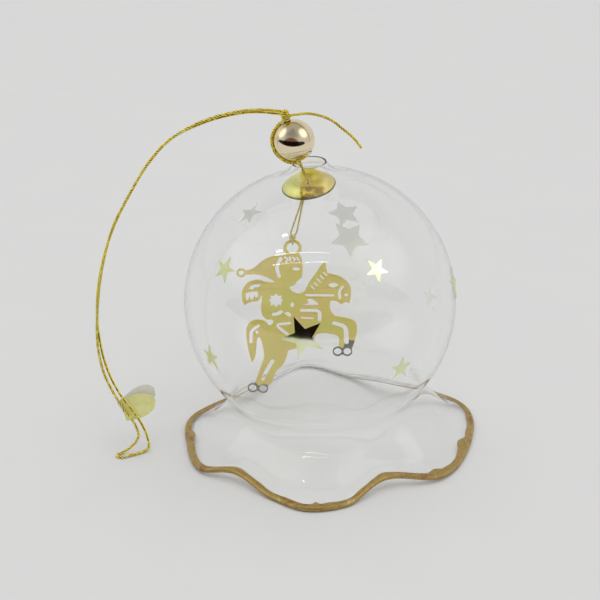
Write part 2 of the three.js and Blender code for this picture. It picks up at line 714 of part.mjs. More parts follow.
// The bead sits on the left of the neck's lip.
const crest = onBell(NECK_MOUTH_RADIUS - WALL * MOUTH_ROUND, MOUTH_HEIGHT, {
  angle: -Math.PI / 2,
  reach: MEAN_REACH,
  lift: 0,
});
const beadAt = crest.clone();
beadAt.x -= BEAD_ASIDE;
beadAt.z += Math.sqrt((BEAD_RADIUS + GAP) ** 2 - BEAD_ASIDE ** 2);
const beadMesh = mesh("bead", bead(), material(0xcdb496, 1, 0.08));
beadMesh.rotation.x = Math.PI / 2;
const threaded = new THREE.Group().add(beadMesh);
threaded.rotation.y = -BEAD_TIP;
threaded.position.copy(beadAt);
ornament.add(threaded);

const topKnot = mesh("top_knot", knot(KNOT_RADIUS, CORD), cordLook());
topKnot.rotation.y = BEAD_TIP;
topKnot.position.z = BEAD_RADIUS + GAP + KNOT_RADIUS * KNOT_SEAT;
threaded.add(topKnot);

const aboutBead = new THREE.Group();
aboutBead.position.copy(beadAt);
aboutBead.add(mesh("core_cord", cordAlong(CORE_ROUTE, CORD), cordLook()));
aboutBead.add(mesh("bead_wrap", cordAlong(WRAP_ROUTE, CORD), cordLook()));
aboutBead.add(mesh("cord_tail", cordAlong(TAIL_ROUTE, CORD), cordLook()));
ornament.add(aboutBead);

const stopKnotAt = capAt.clone().add(point(STOP_KNOT_FROM_HOLE));
const stopKnot = mesh("stop_knot", knot(STOP_KNOT_RADIUS, CORD), cordLook());
stopKnot.position.copy(stopKnotAt);
ornament.add(stopKnot);

ornament.add(mesh("hanging_loop", cordAlong(LOOP_ROUTE, CORD), cordLook()));

const tag = mesh("foil_tag", foilTag(), material(0xc8c878, 0.9, 0.35));
const tagFace = point(TAG_FACE).normalize();
const tagUp = tagFace.clone().cross(point(TAG_ALONG)).normalize();
const tagAlong = tagUp.clone().cross(tagFace);
tag.quaternion.setFromRotationMatrix(new THREE.Matrix4().makeBasis(tagAlong, tagUp, tagFace));
tag.position.set(...TAG_FOLD_AT);
ornament.add(tag);

const ringAt = stopKnotAt.clone().add(point(RING_FROM_STOP_KNOT));
ornament.add(mesh("clapper_thread", threadLoop(), threadLook()));
const tie = mesh("tie_knot", tieKnot(), threadLook());
tie.position.copy(ringAt);
ornament.add(tie);
const clapper = mesh("clapper_plate", clapperPlate(), material(0xbab260, 1, 0.35));
clapper.position.copy(ringAt);
ornament.add(clapper);

export default ornament;
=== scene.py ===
# %% [markdown]
# # Glass bell ornament
# A blown-glass bell stands on its ruffled, gilded skirt. Foil stars lie on the globe, a cut brass
# rider hangs inside on a thread, and a metallic cord with a bead and a folded tag hangs it up.
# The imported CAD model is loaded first, because every piece here stands where its solid stands.

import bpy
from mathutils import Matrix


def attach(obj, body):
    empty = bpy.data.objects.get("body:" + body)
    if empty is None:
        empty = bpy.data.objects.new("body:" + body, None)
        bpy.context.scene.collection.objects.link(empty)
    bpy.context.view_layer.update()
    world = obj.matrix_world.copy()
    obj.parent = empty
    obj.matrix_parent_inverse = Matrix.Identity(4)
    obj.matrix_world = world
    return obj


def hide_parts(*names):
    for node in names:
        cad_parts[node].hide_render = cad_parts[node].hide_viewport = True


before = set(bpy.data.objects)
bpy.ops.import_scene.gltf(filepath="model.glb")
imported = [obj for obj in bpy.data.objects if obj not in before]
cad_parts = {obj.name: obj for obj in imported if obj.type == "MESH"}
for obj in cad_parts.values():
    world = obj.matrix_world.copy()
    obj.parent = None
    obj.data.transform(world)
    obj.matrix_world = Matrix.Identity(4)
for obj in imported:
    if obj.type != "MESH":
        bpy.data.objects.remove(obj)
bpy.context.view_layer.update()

import random
from bisect import bisect
from math import acos, atan2, ceil, cos, degrees, hypot, pi, radians, sin, sqrt

import bmesh
import bpy
from mathutils import Matrix, Vector

scene = bpy.context.scene
MM = 0.001  # the CAD's places are in millimetres, and Blender's in metres

# %% [markdown]
# ## The photograph's camera
# The photograph looks down on the ornament by 25 degrees from about half a metre. A long lens from
# there gives the same slight perspective. The floor fills the whole view behind the ornament.

# %% Camera
LOOKED_AT = Vector((-7.4, 0.85, 36.0)) * MM
DISTANCE = 525 * MM
ELEVATION = radians(25)
SENSOR, LENS = 36, 132.3  # mm

camera = bpy.data.objects.new("camera", bpy.data.cameras.new("camera"))
camera.data.sensor_width = SENSOR
camera.data.lens = LENS
camera.data.clip_start = 0.01
camera.location = LOOKED_AT + DISTANCE * Vector((0, -cos(ELEVATION), sin(ELEVATION)))
camera.rotation_euler = (pi / 2 - ELEVATION, 0, 0)
scene.collection.objects.link(camera)
scene.camera = camera
scene.view_settings.view_transform = "Standard"
print("camera at, mm:", [round(n / MM, 1) for n in camera.location])

# %% [markdown]
# ## A bench for finishes
# A finish is a small machine of nodes. Sums on a surface's values are easier to read as Python than
# as a row of Math nodes, so a Wire wraps one output socket and adds those nodes itself. Any other
# node comes from the bench's own method, with its settings first and then its inputs.

# %% Wires and the bench
def sum_of(operation, swapped=False):
    """A method that puts one Math node after a wire."""

    def method(wire, other):
        return wire.bench.maths(operation, *((other, wire) if swapped else (wire, other)))

    return method


class Wire:
    """One output socket of a node tree, on which sums can be written."""

    __add__ = __radd__ = sum_of("ADD")
    __mul__ = __rmul__ = sum_of("MULTIPLY")
    __sub__, __rsub__ = sum_of("SUBTRACT"), sum_of("SUBTRACT", swapped=True)
    __truediv__, __pow__ = sum_of("DIVIDE"), sum_of("POWER")

    def __init__(self, bench, socket):
        self.bench, self.socket = bench, socket

    def __neg__(self):
        return self * -1.0

    def over(self, edge, soft=0.0):
        """0 under the edge and 1 over it, with a soft step of that width."""
        if soft == 0:
            return self.bench.maths("GREATER_THAN", self, edge)
        return self.bench.eased(self, edge - soft / 2, edge + soft / 2)

    def below(self, edge, soft=0.0):
        """1 under the edge and 0 over it."""
        return 1 - self.over(edge, soft)

    def size(self):
        """Its value without the sign."""
        return self.bench.maths("ABSOLUTE", self)


class Bench:
    """A node tree on which a finish is put together."""

    def __init__(self, tree):
        self.tree = tree
        tree.nodes.clear()

    def node(self, kind, settings=None, values=None, out=0):
        made = self.tree.nodes.new("ShaderNode" + kind)
        for name, value in (settings or {}).items():
            if name == "stops":
                stops = made.color_ramp.elements
                while len(stops) < len(value):
                    stops.new(0.5)
                for stop, (place, colour) in zip(stops, value):
                    stop.position, stop.color = place, colour
            else:
                setattr(made, name, value)
        for name, value in (values or {}).items():
            if isinstance(value, Wire):
                self.tree.links.new(value.socket, made.inputs[name])
            else:
                made.inputs[name].default_value = value
        return Wire(self, made.outputs[out])

    def maths(self, operation, *values):
        return self.node("Math", {"operation": operation}, dict(enumerate(values)))

    def eased(self, value, low, high):
        """A soft step from 0 at the low value to 1 at the high one."""
        values = {"Value": value, "From Min": low, "From Max": high}
        return self.node("MapRange", {"interpolation_type": "SMOOTHSTEP"}, values)

    def place(self):
        return self.node("TexCoord", out="Object")

    def mark(self, name):
        """A value that the mesh carries at its corners."""
        return self.node("Attribute", {"attribute_name": name}, out="Fac")

    def light_path(self, question):
        return self.node("LightPath", out=question)

    def vector(self, operation, a, b=(0, 0, 0), out=0):
        return self.node("VectorMath", {"operation": operation}, {0: a, 1: b}, out)

    def parts(self, vector):
        split = self.node("SeparateXYZ", values={0: vector}).socket.node
        return [Wire(self, split.outputs[i]) for i in range(3)]

    def noise(self, per_mm, detail=3.0, rough=0.5, stretch=None):
        at = self.place()
        if stretch:
            at = self.vector("MULTIPLY", at, stretch)
        values = {"Vector": at, "Scale": per_mm / MM, "Detail": detail, "Roughness": rough}
        return self.node("TexNoise", values=values)

    def blend(self, share, a, b):
        settings = {"data_type": "RGBA"}
        return self.node("Mix", settings, {0: share, 6: a, 7: b}, out=2)

    def ramp(self, value, *stops):
        """Colours along a value, from stops of a place and a colour's red, green and blue."""
        stops = [(place, colour(*tone)) for place, *tone in stops]
        return self.node("ValToRGB", {"stops": stops}, {0: value})

    def bump(self, height, depth_mm, strength=1.0):
        values = {"Height": height, "Distance": depth_mm * MM, "Strength": strength}
        return self.node("Bump", values=values)

    def surface(self, shader, end_kind="OutputMaterial"):
        end = self.tree.nodes.new("ShaderNode" + end_kind)
        self.tree.links.new(shader.socket, end.inputs["Surface"])


def colour(red, green, blue):
    """A colour as it is read off a screen, 0 to 255, in the linear light that nodes work in."""
    shares = [part / 255 for part in (red, green, blue)]
    return (*(c / 12.92 if c < 0.0431 else ((c + 0.055) / 1.055) ** 2.4 for c in shares), 1.0)


def skin(tone, metallic, rough, normal, glow=None):
    """What most finishes hand back. A glow is a colour and how strong it is."""
    values = {"Base Color": tone, "Metallic": metallic, "Roughness": rough, "Normal": normal}
    if glow:
        values["Emission Color"], values["Emission Strength"] = glow
    return values


def finish(name, make):
    """A material from make(bench), which gives a shader, or the values of a Principled one."""
    material = bpy.data.materials.new(name)
    material.use_nodes = True
    bench = Bench(material.node_tree)
    made = make(bench)
    if isinstance(made, dict):
        made = bench.node("BsdfPrincipled", values=made)
    bench.surface(made)
    print("finish", name, "nodes:", len(material.node_tree.nodes))
    return material


# %% [markdown]
# ## The room and the floor
# Clear glass and polished metal show their surroundings more than themselves, so the room matters.
# The bead in the photograph is a small map of it: two soft boxes high to the left and right, and
# between them a dark room beyond the table's front edge, with something brown and dim above. The
# world paints these by direction. What the camera sees directly, or through the glass alone, stays
# plain and pale. Dull things, such as the floor, get even light from all sides instead, and a wide
# lamp overhead, which mirrors don't see, brings the floor to its own colour.

# %% The room
PALE = colour(216, 216, 215)  # the background as the camera sees it
WALLS, UPPER_ROOM = 0.60, 0.42  # brightness, low down and high up
DOME = 0.72  # what the floor and other dull things get from all sides
DIMMED = 0.1  # how much less of that comes through the glass
SOFT_BOXES = [
    # direction, inner half angle, soft edge, brightness
    ((-0.80, 0.02, 0.60), 9, 20, 0.85),
    ((0.74, -0.13, 0.66), 9, 20, 0.85),
]
# Angles are in degrees, over the horizon or round from straight in front, and come with the
# width of a soft edge where they have one.
UPPER_FROM = 38, 30
BACKDROP_FROM, BACKDROP_TOP = (112, 30), (42, 24)
ARCH_TURN = 12  # of both arches, to the left
DARK_HALF, DARK_TOP, DARK_SHARE = 74, 15, 0.95
BROWN_HALF, BROWN_TOP, BROWN_DROP, BROWN_SHARE = 46, 48, 0.3, 0.6
SHADE = 0.35  # of everything behind the brown arch
BROWN = colour(255, 196, 176)
WHITE = (1, 1, 1, 1)

world = bpy.data.worlds.new("room")
world.use_nodes = True
scene.world = world
room = Bench(world.node_tree)
towards = room.vector("NORMALIZE", room.node("TexCoord", out="Generated"))
east, north, up = room.parts(towards)
height = room.maths("ARCSINE", up) * degrees(1)
azimuth = room.maths("ARCTAN2", east, -north) * degrees(1)


def arch_of(half_width):
    """Where in the arch a direction lies, -1 to 1 across it, and how high the arch is there."""
    across = (azimuth + ARCH_TURN) / half_width
    square = room.maths("MINIMUM", across * across, 1.0)
    return across, (1 - square) ** 0.5


light = height.over(*UPPER_FROM) * (UPPER_ROOM - WALLS) + WALLS
backdrop = azimuth.size().over(*BACKDROP_FROM) * height.below(*BACKDROP_TOP)
light = light + backdrop * (PALE[0] - WALLS)
for direction, inner, soft, bright in SOFT_BOXES:
    facing = room.vector("DOT_PRODUCT", towards, Vector(direction).normalized(), out="Value")
    light = light + room.eased(facing, cos(radians(inner + soft)), cos(radians(inner))) * bright

across, arch = arch_of(DARK_HALF)
dark_room = (height - arch * DARK_TOP).below(0, 4) * across.size().below(1.0)
across, arch = arch_of(BROWN_HALF)
brown_room = (height - (arch - BROWN_DROP) * BROWN_TOP).below(0, 12) * across.size().below(1.0, 0.2)
light = light * (1 - arch * SHADE) * (1 - brown_room * BROWN_SHARE) * (1 - dark_room * DARK_SHARE)

# %% What each kind of ray sees of it
seen = room.light_path("Is Camera Ray")
through = room.light_path("Is Transmission Ray")
mirrored = room.light_path("Glossy Depth").over(0.5)
scattered = room.light_path("Diffuse Depth").over(0.5)
plain = seen + through * (1 - mirrored) * (1 - scattered)
lit = scattered * DOME * (1 - through * DIMMED) + (1 - scattered) * light
strength = plain * PALE[0] + (1 - plain) * lit
tint = room.blend(brown_room, WHITE, BROWN)
tint = room.blend(room.maths("MAXIMUM", plain, scattered), tint, WHITE)
shine = room.node("Background", values={"Color": tint, "Strength": strength})
room.surface(shine, "OutputWorld")
print("room nodes:", len(world.node_tree.nodes))

# %% The lamp overhead
OVERHEAD, OVERHEAD_WIDE, OVERHEAD_UP = 0.80, 1.8, 1.3  # brightness, and metres
overhead = bpy.data.lights.new("overhead", "AREA")
overhead.shape = "SQUARE"
overhead.size = OVERHEAD_WIDE
overhead.energy = OVERHEAD * pi * overhead.size**2
overhead_at = bpy.data.objects.new("overhead", overhead)
overhead_at.location = (0, 0, OVERHEAD_UP)
overhead_at.visible_glossy = False
scene.collection.objects.link(overhead_at)

# %% The floor
def paper(bench):
    mottle = bench.noise(0.05, 2.0)
    tone = bench.blend(mottle, colour(213, 213, 213), colour(217, 217, 216))
    grain = bench.bump(bench.noise(2.5, 2.0), 0.02, 0.2)
    return {"Base Color": tone, "Roughness": 0.85, "Normal": grain, "Specular IOR Level": 0.1}


FLOOR_FRONT, FLOOR_DEPTH, FLOOR_HALF = -0.345, 2.6, 2.2  # metres
shape = bmesh.new()
bmesh.ops.create_grid(shape, x_segments=1, y_segments=1, size=1)
bmesh.ops.scale(shape, verts=shape.verts, vec=(FLOOR_HALF, FLOOR_DEPTH / 2, 1))
bmesh.ops.translate(shape, verts=shape.verts, vec=(0, FLOOR_DEPTH / 2 + FLOOR_FRONT, 0))
floor_mesh = bpy.data.meshes.new("floor")
shape.to_mesh(floor_mesh)
shape.free()
floor = bpy.data.objects.new("floor", floor_mesh)
floor_mesh.materials.append(finish("paper", paper))
scene.collection.objects.link(floor)
print("floor front edge, mm:", round(FLOOR_FRONT / MM))

# %% [markdown]
# ## Shared tools
# Routes and rims are smooth lines through given places. The CAD runs a centripetal
# Catmull-Rom line through them, and the same line is run here, so both models agree. Each piece is
# built in millimetres and brought to metres once, when it is finished.

# %% A smooth line through places
def through_places(places, steps, closed=False):
    """A centripetal Catmull-Rom line, with that many steps between each pair of places."""
    places = [Vector(place) for place in places]
    count = len(places)
    line = []
    for i in range(count if closed else count - 1):
        if closed:
            a, b, c, d = (places[(i + k) % count] for k in (-1, 0, 1, 2))
        else:
            b, c = places[i], places[i + 1]
            a = places[i - 1] if i else 2 * b - c
            d = places[i + 2] if i + 2 < count else 2 * c - b
        before, here, after = ((q - p).length ** 0.5 for p, q in ((a, b), (b, c), (c, d)))
        start = ((b - a) / before - (c - a) / (before + here) + (c - b) / here) * here
        end = ((c - b) / here - (d - b) / (here + after) + (d - c) / after) * here
        for step in range(steps):
            t = step / steps
            line.append(
                b * (2 * t**3 - 3 * t**2 + 1)
                + start * (t**3 - 2 * t**2 + t)
                + c * (3 * t**2 - 2 * t**3)
                + end * (t**3 - t**2)
            )
    return line if closed else [*line, places[-1]]


def evenly(line, spacing=None, count=None):
    """The same line with its points an even distance apart."""
    marks = [0.0]
    for a, b in zip(line, line[1:]):
        marks.append(marks[-1] + (b - a).length)
    count = count or max(2, ceil(marks[-1] / spacing))
    even = []
    for i in range(count + 1):
        mark = marks[-1] * i / count
        k = min(len(line) - 2, max(0, bisect(marks, mark) - 1))
        share = (mark - marks[k]) / (marks[k + 1] - marks[k])
        even.append(line[k].lerp(line[k + 1], share))
    return even


def length_of(line):
    return sum((b - a).length for a, b in zip(line, line[1:]))


def heading(line, i):
    """Which way a line goes at one of its places."""
    return (line[min(i + 1, len(line) - 1)] - line[max(i - 1, 0)]).normalized()


# %% Curves, and shapes from them
def drawn_line(curve, places, closed=False):
    """Adds a line through those places to a curve, and gives its points."""
    spline = curve.splines.new("POLY")
    spline.points.add(len(places) - 1)
    for point, place in zip(spline.points, places):
        point.co = (*place, 1)
    spline.use_cyclic_u = closed
    return spline.points


def placed(curve):
    thing = bpy.data.objects.new(curve.name, curve)
    scene.collection.objects.link(thing)
    return thing


def shape_from(*things):
    """The first curve's mesh as a shape. All these curves are deleted."""
    graph = bpy.context.evaluated_depsgraph_get()
    mesh = bpy.data.meshes.new_from_object(things[0].evaluated_get(graph))
    shape = bmesh.new()
    shape.from_mesh(mesh)
    bpy.data.meshes.remove(mesh)
    for thing in things:
        curve = thing.data
        bpy.data.objects.remove(thing)
        bpy.data.curves.remove(curve)
    return shape


# %% Spinning, and finishing a piece
def spun(profile, columns):
    """A closed profile of (radius, height) places, in mm, turned once round the Z axis."""
    shape = bmesh.new()
    ring = [shape.verts.new((out, 0, up)) for out, up in profile]
    edges = [shape.edges.new(pair) for pair in zip(ring, ring[1:] + ring[:1])]
    bmesh.ops.spin(
        shape, geom=ring + edges, axis=(0, 0, 1), cent=(0, 0, 0),
        angle=2 * pi, steps=columns, use_merge=True,
    )
    return shape


def turning(angle, axis):
    """A turn by that many degrees."""
    return Matrix.Rotation(radians(angle), 4, axis)


def finished(name, shape, body, looks, nodes, crease=50, turned=None):
    """Makes a shape in mm a finished piece that rides on its CAD body."""
    bmesh.ops.remove_doubles(shape, verts=shape.verts, dist=1e-4)
    if turned:
        bmesh.ops.transform(shape, matrix=turned, verts=shape.verts)
    bmesh.ops.recalc_face_normals(shape, faces=shape.faces)
    bmesh.ops.scale(shape, verts=shape.verts, vec=(MM, MM, MM))
    for face in shape.faces:
        face.smooth = True
    for line in shape.edges:
        line.smooth = line.calc_face_angle(0) < radians(crease)
    mesh = bpy.data.meshes.new(name)
    shape.to_mesh(mesh)
    shape.free()
    for look in looks:
        mesh.materials.append(look)
    piece = bpy.data.objects.new(name, mesh)
    scene.collection.objects.link(piece)
    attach(piece, body)
    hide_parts(*nodes)
    print(name, "on", body, "faces:", len(mesh.polygons))
    return piece


# %% [markdown]
# ## The metallic cord
# The cord is three plies of gilt foil thread, laid into a rope 0.7 mm thick. Where a ply dips under
# its neighbours the finish paints brown shade into the groove, which gives the photograph's slanting
# specks. A curve object sweeps a three-lobed section along the route, and the curve's tilt lays the
# twist. It becomes a mesh, because the groove between plies is worth keeping as a value for the
# finish to read.

# %% The cord's finish
def gilt_thread(bench):
    crest = bench.mark("crest")
    speck = bench.noise(1.7, 2.0)
    wear = bench.noise(0.35, 2.0)
    # Painted shade: the groove between plies is painted dark brown, broken up by specks. The same
    # mask makes the groove rougher.
    painted_groove_shade = (1 - crest) * (speck.over(0.5, 0.2) * 0.6 + 0.65)
    foil = bench.ramp(
        wear, (0.3, 240, 204, 48), (0.5, 250, 232, 92), (0.7, 240, 238, 134)
    )
    tone = bench.blend(painted_groove_shade.below(0.62, 0.4), colour(104, 66, 16), foil)
    rough = 0.3 + painted_groove_shade * 0.3
    threads = bench.noise(6.0, 2.0)
    return skin(tone, 0.3, rough, bench.bump(threads, 0.05, 0.6))


cord_look = finish("gilt thread", gilt_thread)

# %% Laying a cord along a route
CORD = 0.7  # its diameter in mm
LAY = 2.1  # of one ply's full turn, in mm
LAY_STEPS = 12  # points along one full turn
PLIES = 3
SECTION = 15  # points round the section
GROOVE = 0.26  # how deep the groove is, as a share of the radius


def laid_cord(
    name, node, route, diameter=CORD, look=cord_look, body="cord", lay=LAY
):
    """A laid cord along places in mm, as a mesh with its grooves marked."""
    line = evenly(through_places(route, 12), spacing=lay / LAY_STEPS)
    turns = [2 * pi * i / SECTION for i in range(SECTION)]
    lobes = [0.5 + 0.5 * cos(PLIES * turn) for turn in turns]
    outs = [diameter / 2 * (1 - GROOVE + GROOVE * lobe**0.7) for lobe in lobes]
    section = bpy.data.curves.new(name + " section", "CURVE")
    drawn_line(section, [(out * cos(t), out * sin(t), 0) for out, t in zip(outs, turns)], closed=True)
    former = placed(section)
    sweep = bpy.data.curves.new(name + " sweep", "CURVE")
    sweep.dimensions = "3D"
    sweep.twist_mode = "MINIMUM"
    sweep.bevel_mode = "OBJECT"
    sweep.bevel_object = former
    sweep.use_fill_caps = True
    gone = 0.0
    for i, point in enumerate(drawn_line(sweep, line)):
        gone += (line[i] - line[i - 1]).length if i else 0.0
        point.tilt = 2 * pi * gone / lay
    shape = shape_from(placed(sweep), former)
    crest = shape.verts.layers.float.new("crest")
    for i, vert in enumerate(shape.verts):
        vert[crest] = lobes[i % SECTION]
    piece = finished(name, shape, body, [look], [node])
    print("  length, mm:", round(length_of(line), 1))
    return piece, [place * MM for place in line]


# %% [markdown]
# ## The cord's routes
# The places are those of the CAD's cord solids, in millimetres. The loop leaves the knot, runs out
# to the left and down, lies in a small loop on the table and comes back beside itself. The short
# routes in the bead and neck are measured from the bead's middle, as in the CAD.

# %% The hanging loop, the tail and the strands at the bead
BEAD_AT = Vector((-8.942, 0.85, 76.550))
LOOP_ROUTE = [
    (-12.4, 0.4, 83.9), (-18.8, -0.3, 84.4), (-28.1, -1.1, 82.6), (-36.6, -2.0, 78.3),
    (-41.8, -2.7, 72.9), (-46.7, -3.6, 65.1), (-50.9, -4.6, 56.8), (-53.6, -5.6, 47.1),
    (-55.0, -6.6, 36.7), (-55.2, -7.4, 27.8), (-53.8, -7.8, 20.3), (-51.3, -8.1, 14.6),
    (-48.8, -8.5, 10.6), (-46.7, -9.0, 7.2), (-46.2, -9.2, 4.6), (-47.6, -9.5, 2.3),
    (-50.0, -9.9, 0.6), (-51.4, -10.9, 0.42), (-50.4, -11.9, 0.42), (-47.6, -10.7, 0.42),
    (-44.9, -9.0, 0.42), (-43.9, -7.9, 1.0), (-44.1, -7.9, 3.6), (-45.5, -8.1, 7.7),
    (-47.7, -8.0, 11.4), (-50.3, -7.7, 15.2), (-52.9, -7.2, 20.8), (-54.6, -6.5, 27.9),
    (-55.2, -5.6, 36.7), (-53.8, -4.6, 47.0), (-50.7, -3.6, 56.8), (-46.5, -2.6, 65.1),
    (-42.0, -1.7, 72.5), (-36.8, -1.0, 77.8), (-27.9, 0.0, 81.8), (-18.8, 0.8, 83.5),
    (-12.4, 1.4, 82.9),
]
CORE_ROUTE = [
    (-1.35, 0, 4.35), (-0.15, 0, 0.05), (1.4, 0, -5.05), (2.35, 0, -7.65),
    (3.25, 0, -9.55), (3.5, 0, -10.75), (3.1, 0, -11.45),
]
WRAP_ROUTE = [
    (-3.15, -0.35, 4.3), (-4.35, -0.85, 2.9), (-5.0, -1.5, 0.9), (-4.5, -2.3, -1.55),
    (-2.85, -2.95, -3.35), (-0.9, -2.9, -4.35), (0.9, -2.2, -4.8), (1.8, -1.5, -5.7),
    (2.2, -1.0, -6.8),
]
TAIL_ROUTE = [
    (-0.35, -0.15, 6.25), (3.85, -0.55, 6.75), (8.45, -1.15, 5.55), (11.25, -1.45, 3.45),
    (13.75, -1.75, 1.35), (15.65, -2.05, -1.05),
]


def from_bead(route):
    return [BEAD_AT + Vector(place) for place in route]


KNOT_AT = Vector((-10.75, 0.7, 82.65))


def from_knot(*place):
    return KNOT_AT + Vector(place)


loop_route = [from_knot(-0.3, -0.3, 1.0), *LOOP_ROUTE, from_knot(-0.2, 0.3, 0.2)]
tail_route = [from_knot(0.3, -0.1, -0.1), *from_bead(TAIL_ROUTE)]
wrap_route = [from_knot(0, -0.2, -0.7), *from_bead(WRAP_ROUTE)]
hanging_loop, loop_path = laid_cord("hanging_loop_cord", "hanging_loop", loop_route)
tail, _ = laid_cord("tail_of_the_cord", "cord_tail", tail_route)
laid_cord("cord_in_the_neck", "core_cord", from_bead(CORE_ROUTE))
laid_cord("strand_round_the_bead", "bead_wrap", wrap_route)

# %% [markdown]
# ## The knots
# A pulled-tight knot shows as a few close turns of cord. A short coil over a small core reads the
# same from every side. The top knot slants with the bead, and the stop knot hides under the cap.

# %% Knots
def coil(middle, radius, long, diameter, turns, tip):
    """Places of a close coil of cord, in mm, whose axis tips towards -X by that angle."""
    places = []
    for i in range(turns * 10 + 1):
        share = i / (turns * 10)
        turn = 2 * pi * share * turns
        pull = 1 - 0.45 * abs(2 * share - 1) ** 3
        out = (radius - diameter / 2) * pull
        places.append(Vector((out * cos(turn), out * sin(turn), (share - 0.5) * (long - diameter))))
    turned = Matrix.Rotation(-tip, 3, "Y") @ Matrix.Rotation(radians(14), 3, "X")
    return [Vector(middle) + turned @ place for place in places]


STOP_KNOT = (-6.612, 0.85, 63.828)
STOP_CORD = 0.6  # pulled tight, so thinner
top_route = coil(KNOT_AT, 1.1, 3.7, CORD, 4, radians(16))
stop_route = coil(STOP_KNOT, 1.18, 2.2, STOP_CORD, 3, radians(20))
top_knot, _ = laid_cord("knot_on_the_bead", "top_knot", top_route)
laid_cord("knot_under_the_cap", "stop_knot", stop_route, STOP_CORD)

# %% [markdown]
# ## The blown glass
# The bell is one gather of glass: a globe, drawn in at a waist, with the end opened into a skirt and
# ruffled. In the CAD a round profile is turned, leaned over by 4.2 degrees, and below the waist each
# column is pulled out to the free-blown edge and laid on the table. The same is done here with many
# more columns and rings, so that the glass has no facets.

# %% The skirt's free-blown edge
LEAN = radians(4.2)
AXIS_Y = 0.85
GLOBE_RADIUS = 32.3
WALL = 1.0
WAIST_RADIUS, WAIST_HEIGHT = 22.8, 12.8
BLEND_OUT, BLEND_UP = 1.6, 2.0
SHOULDER_RADIUS, NECK_RISE, MOUTH_RADIUS, MOUTH_ROUND = 9.6, 4.9, 4.0, 0.45
LIP_WIDTH, LIP_HEIGHT = 1.5, 1.3
SKIRT_REACH = 37.5
SETTLED = 0.25  # how far the lifts are lowered
# angle from the front towards +X, share of the reach, lift off the table
SKIRT_EDGE = [
    (340, 0.9093, 0.2), (354, 1.0, 0.0), (8, 0.9547, 0.0), (29, 0.8027, 2.2), (50, 0.9547, 0.7),
    (80, 0.9547, 0.0), (110, 0.9973, 0.5), (139, 0.7147, 3.2), (168, 0.8213, 0.2),
    (187, 0.968, 0.0), (203, 0.8427, 0.5), (231, 0.6827, 2.2), (258, 0.864, 0.3),
    (281, 0.87, 0.0), (304.5, 0.918, 0.7), (318.5, 0.826, 2.0),
]
edge = []
for at, share, lift in SKIRT_EDGE:
    reach, at = SKIRT_REACH * share, radians(at)
    edge.append((reach * sin(at), -reach * cos(at), lift))
edge = through_places(edge, 24, closed=True)
edge = evenly([*edge, edge[0]], count=360)[:-1]
middle = [(min(p[k] for p in edge) + max(p[k] for p in edge)) / 2 for k in (0, 1)]
around = []
for place in edge:
    right, ahead = place.x - middle[0], middle[1] - place.y
    around.append((atan2(right, ahead), hypot(right, ahead), max(0, place.z - SETTLED)))
around.sort()
MEAN_REACH = sum(reach for _, reach, _ in around) / len(around)
around = [(around[-1][0] - 2 * pi, *around[-1][1:]), *around, (around[0][0] + 2 * pi, *around[0][1:])]
angles = [entry[0] for entry in around]


def edge_at(angle):
    """How far the skirt's edge reaches, and how far it is lifted, in that direction."""
    k = min(len(around) - 2, max(0, bisect(angles, angle) - 1))
    share = (angle - angles[k]) / (angles[k + 1] - angles[k])
    return [a + (b - a) * share for a, b in zip(around[k][1:], around[k + 1][1:])]


def on_bell(out, up, angle):
    """A place on the leaning, ruffled glass, from its radius and height on a plain round one."""
    reach, lift = edge_at(angle)
    share = min(1, max(0, (WAIST_HEIGHT - up) / (WAIST_HEIGHT - LIP_HEIGHT)))
    ruffle = share**1.3
    out += ruffle * (reach - MEAN_REACH)
    tip = LEAN * (1 - ruffle)
    side = out * sin(angle)
    return Vector((
        side * cos(tip) - up * sin(LEAN),
        AXIS_Y * (1 - ruffle) - out * cos(angle),
        up * cos(tip) + side * sin(tip) + ruffle * lift,
    ))


def laid_on_bell(shape, moved=lambda out, up, angle: (out, up)):
    """Lays a plain round shape on the bell, with each place moved on the plain one first."""
    for vert in shape.verts:
        x, y, up = vert.co
        angle = atan2(x, -y)
        vert.co = on_bell(*moved(hypot(x, y), up, angle), angle)
    return shape


print("mean reach of the skirt, mm:", round(MEAN_REACH, 2))

# %% The glass's profile
GLOBE_HEIGHT = WAIST_HEIGHT + BLEND_UP + sqrt(GLOBE_RADIUS**2 - (WAIST_RADIUS + BLEND_OUT) ** 2)
SHOULDER_HEIGHT = GLOBE_HEIGHT + sqrt(GLOBE_RADIUS**2 - SHOULDER_RADIUS**2)
MOUTH_HEIGHT = SHOULDER_HEIGHT + NECK_RISE
LIP_INSIDE = MEAN_REACH - LIP_WIDTH / 2 - 0.12
WAIST_EASE = 1.2  # the waist bends a little more gently than the CAD's
STEPS = 6  # of the profile, from each place to the next
BLOWN_WALL = 0.4  # thinner than the CAD's, as it bends light less
# shares of the way from the waist out and up, and from the mouth out and up
FLARE = [(0.57, 0.24), (0.32, 0.47), (0.13, 0.68)]
NECK = [(0.54, 0.26), (0.16, 0.6)]
GLOBE_STEPS = 15

flare_width = MEAN_REACH - WAIST_RADIUS
neck_width = SHOULDER_RADIUS - MOUTH_RADIUS
low = -acos((WAIST_RADIUS + BLEND_OUT + WAIST_EASE) / GLOBE_RADIUS)
high = acos(SHOULDER_RADIUS / GLOBE_RADIUS)
globe = [low + (high - low) * i / GLOBE_STEPS for i in range(GLOBE_STEPS + 1)]

places = [(LIP_INSIDE, LIP_HEIGHT)]
places += [(WAIST_RADIUS + out * flare_width, up * WAIST_HEIGHT) for out, up in FLARE]
places += [(WAIST_RADIUS + WAIST_EASE / 4, WAIST_HEIGHT - WAIST_EASE / 3)]
places += [(GLOBE_RADIUS * cos(a), GLOBE_HEIGHT + GLOBE_RADIUS * sin(a)) for a in globe]
places += [(MOUTH_RADIUS + out * neck_width, SHOULDER_HEIGHT + up * NECK_RISE) for out, up in NECK]
places += [(MOUTH_RADIUS, MOUTH_HEIGHT - WALL * MOUTH_ROUND)]
outside = through_places([(out, up, 0) for out, up in places], STEPS)

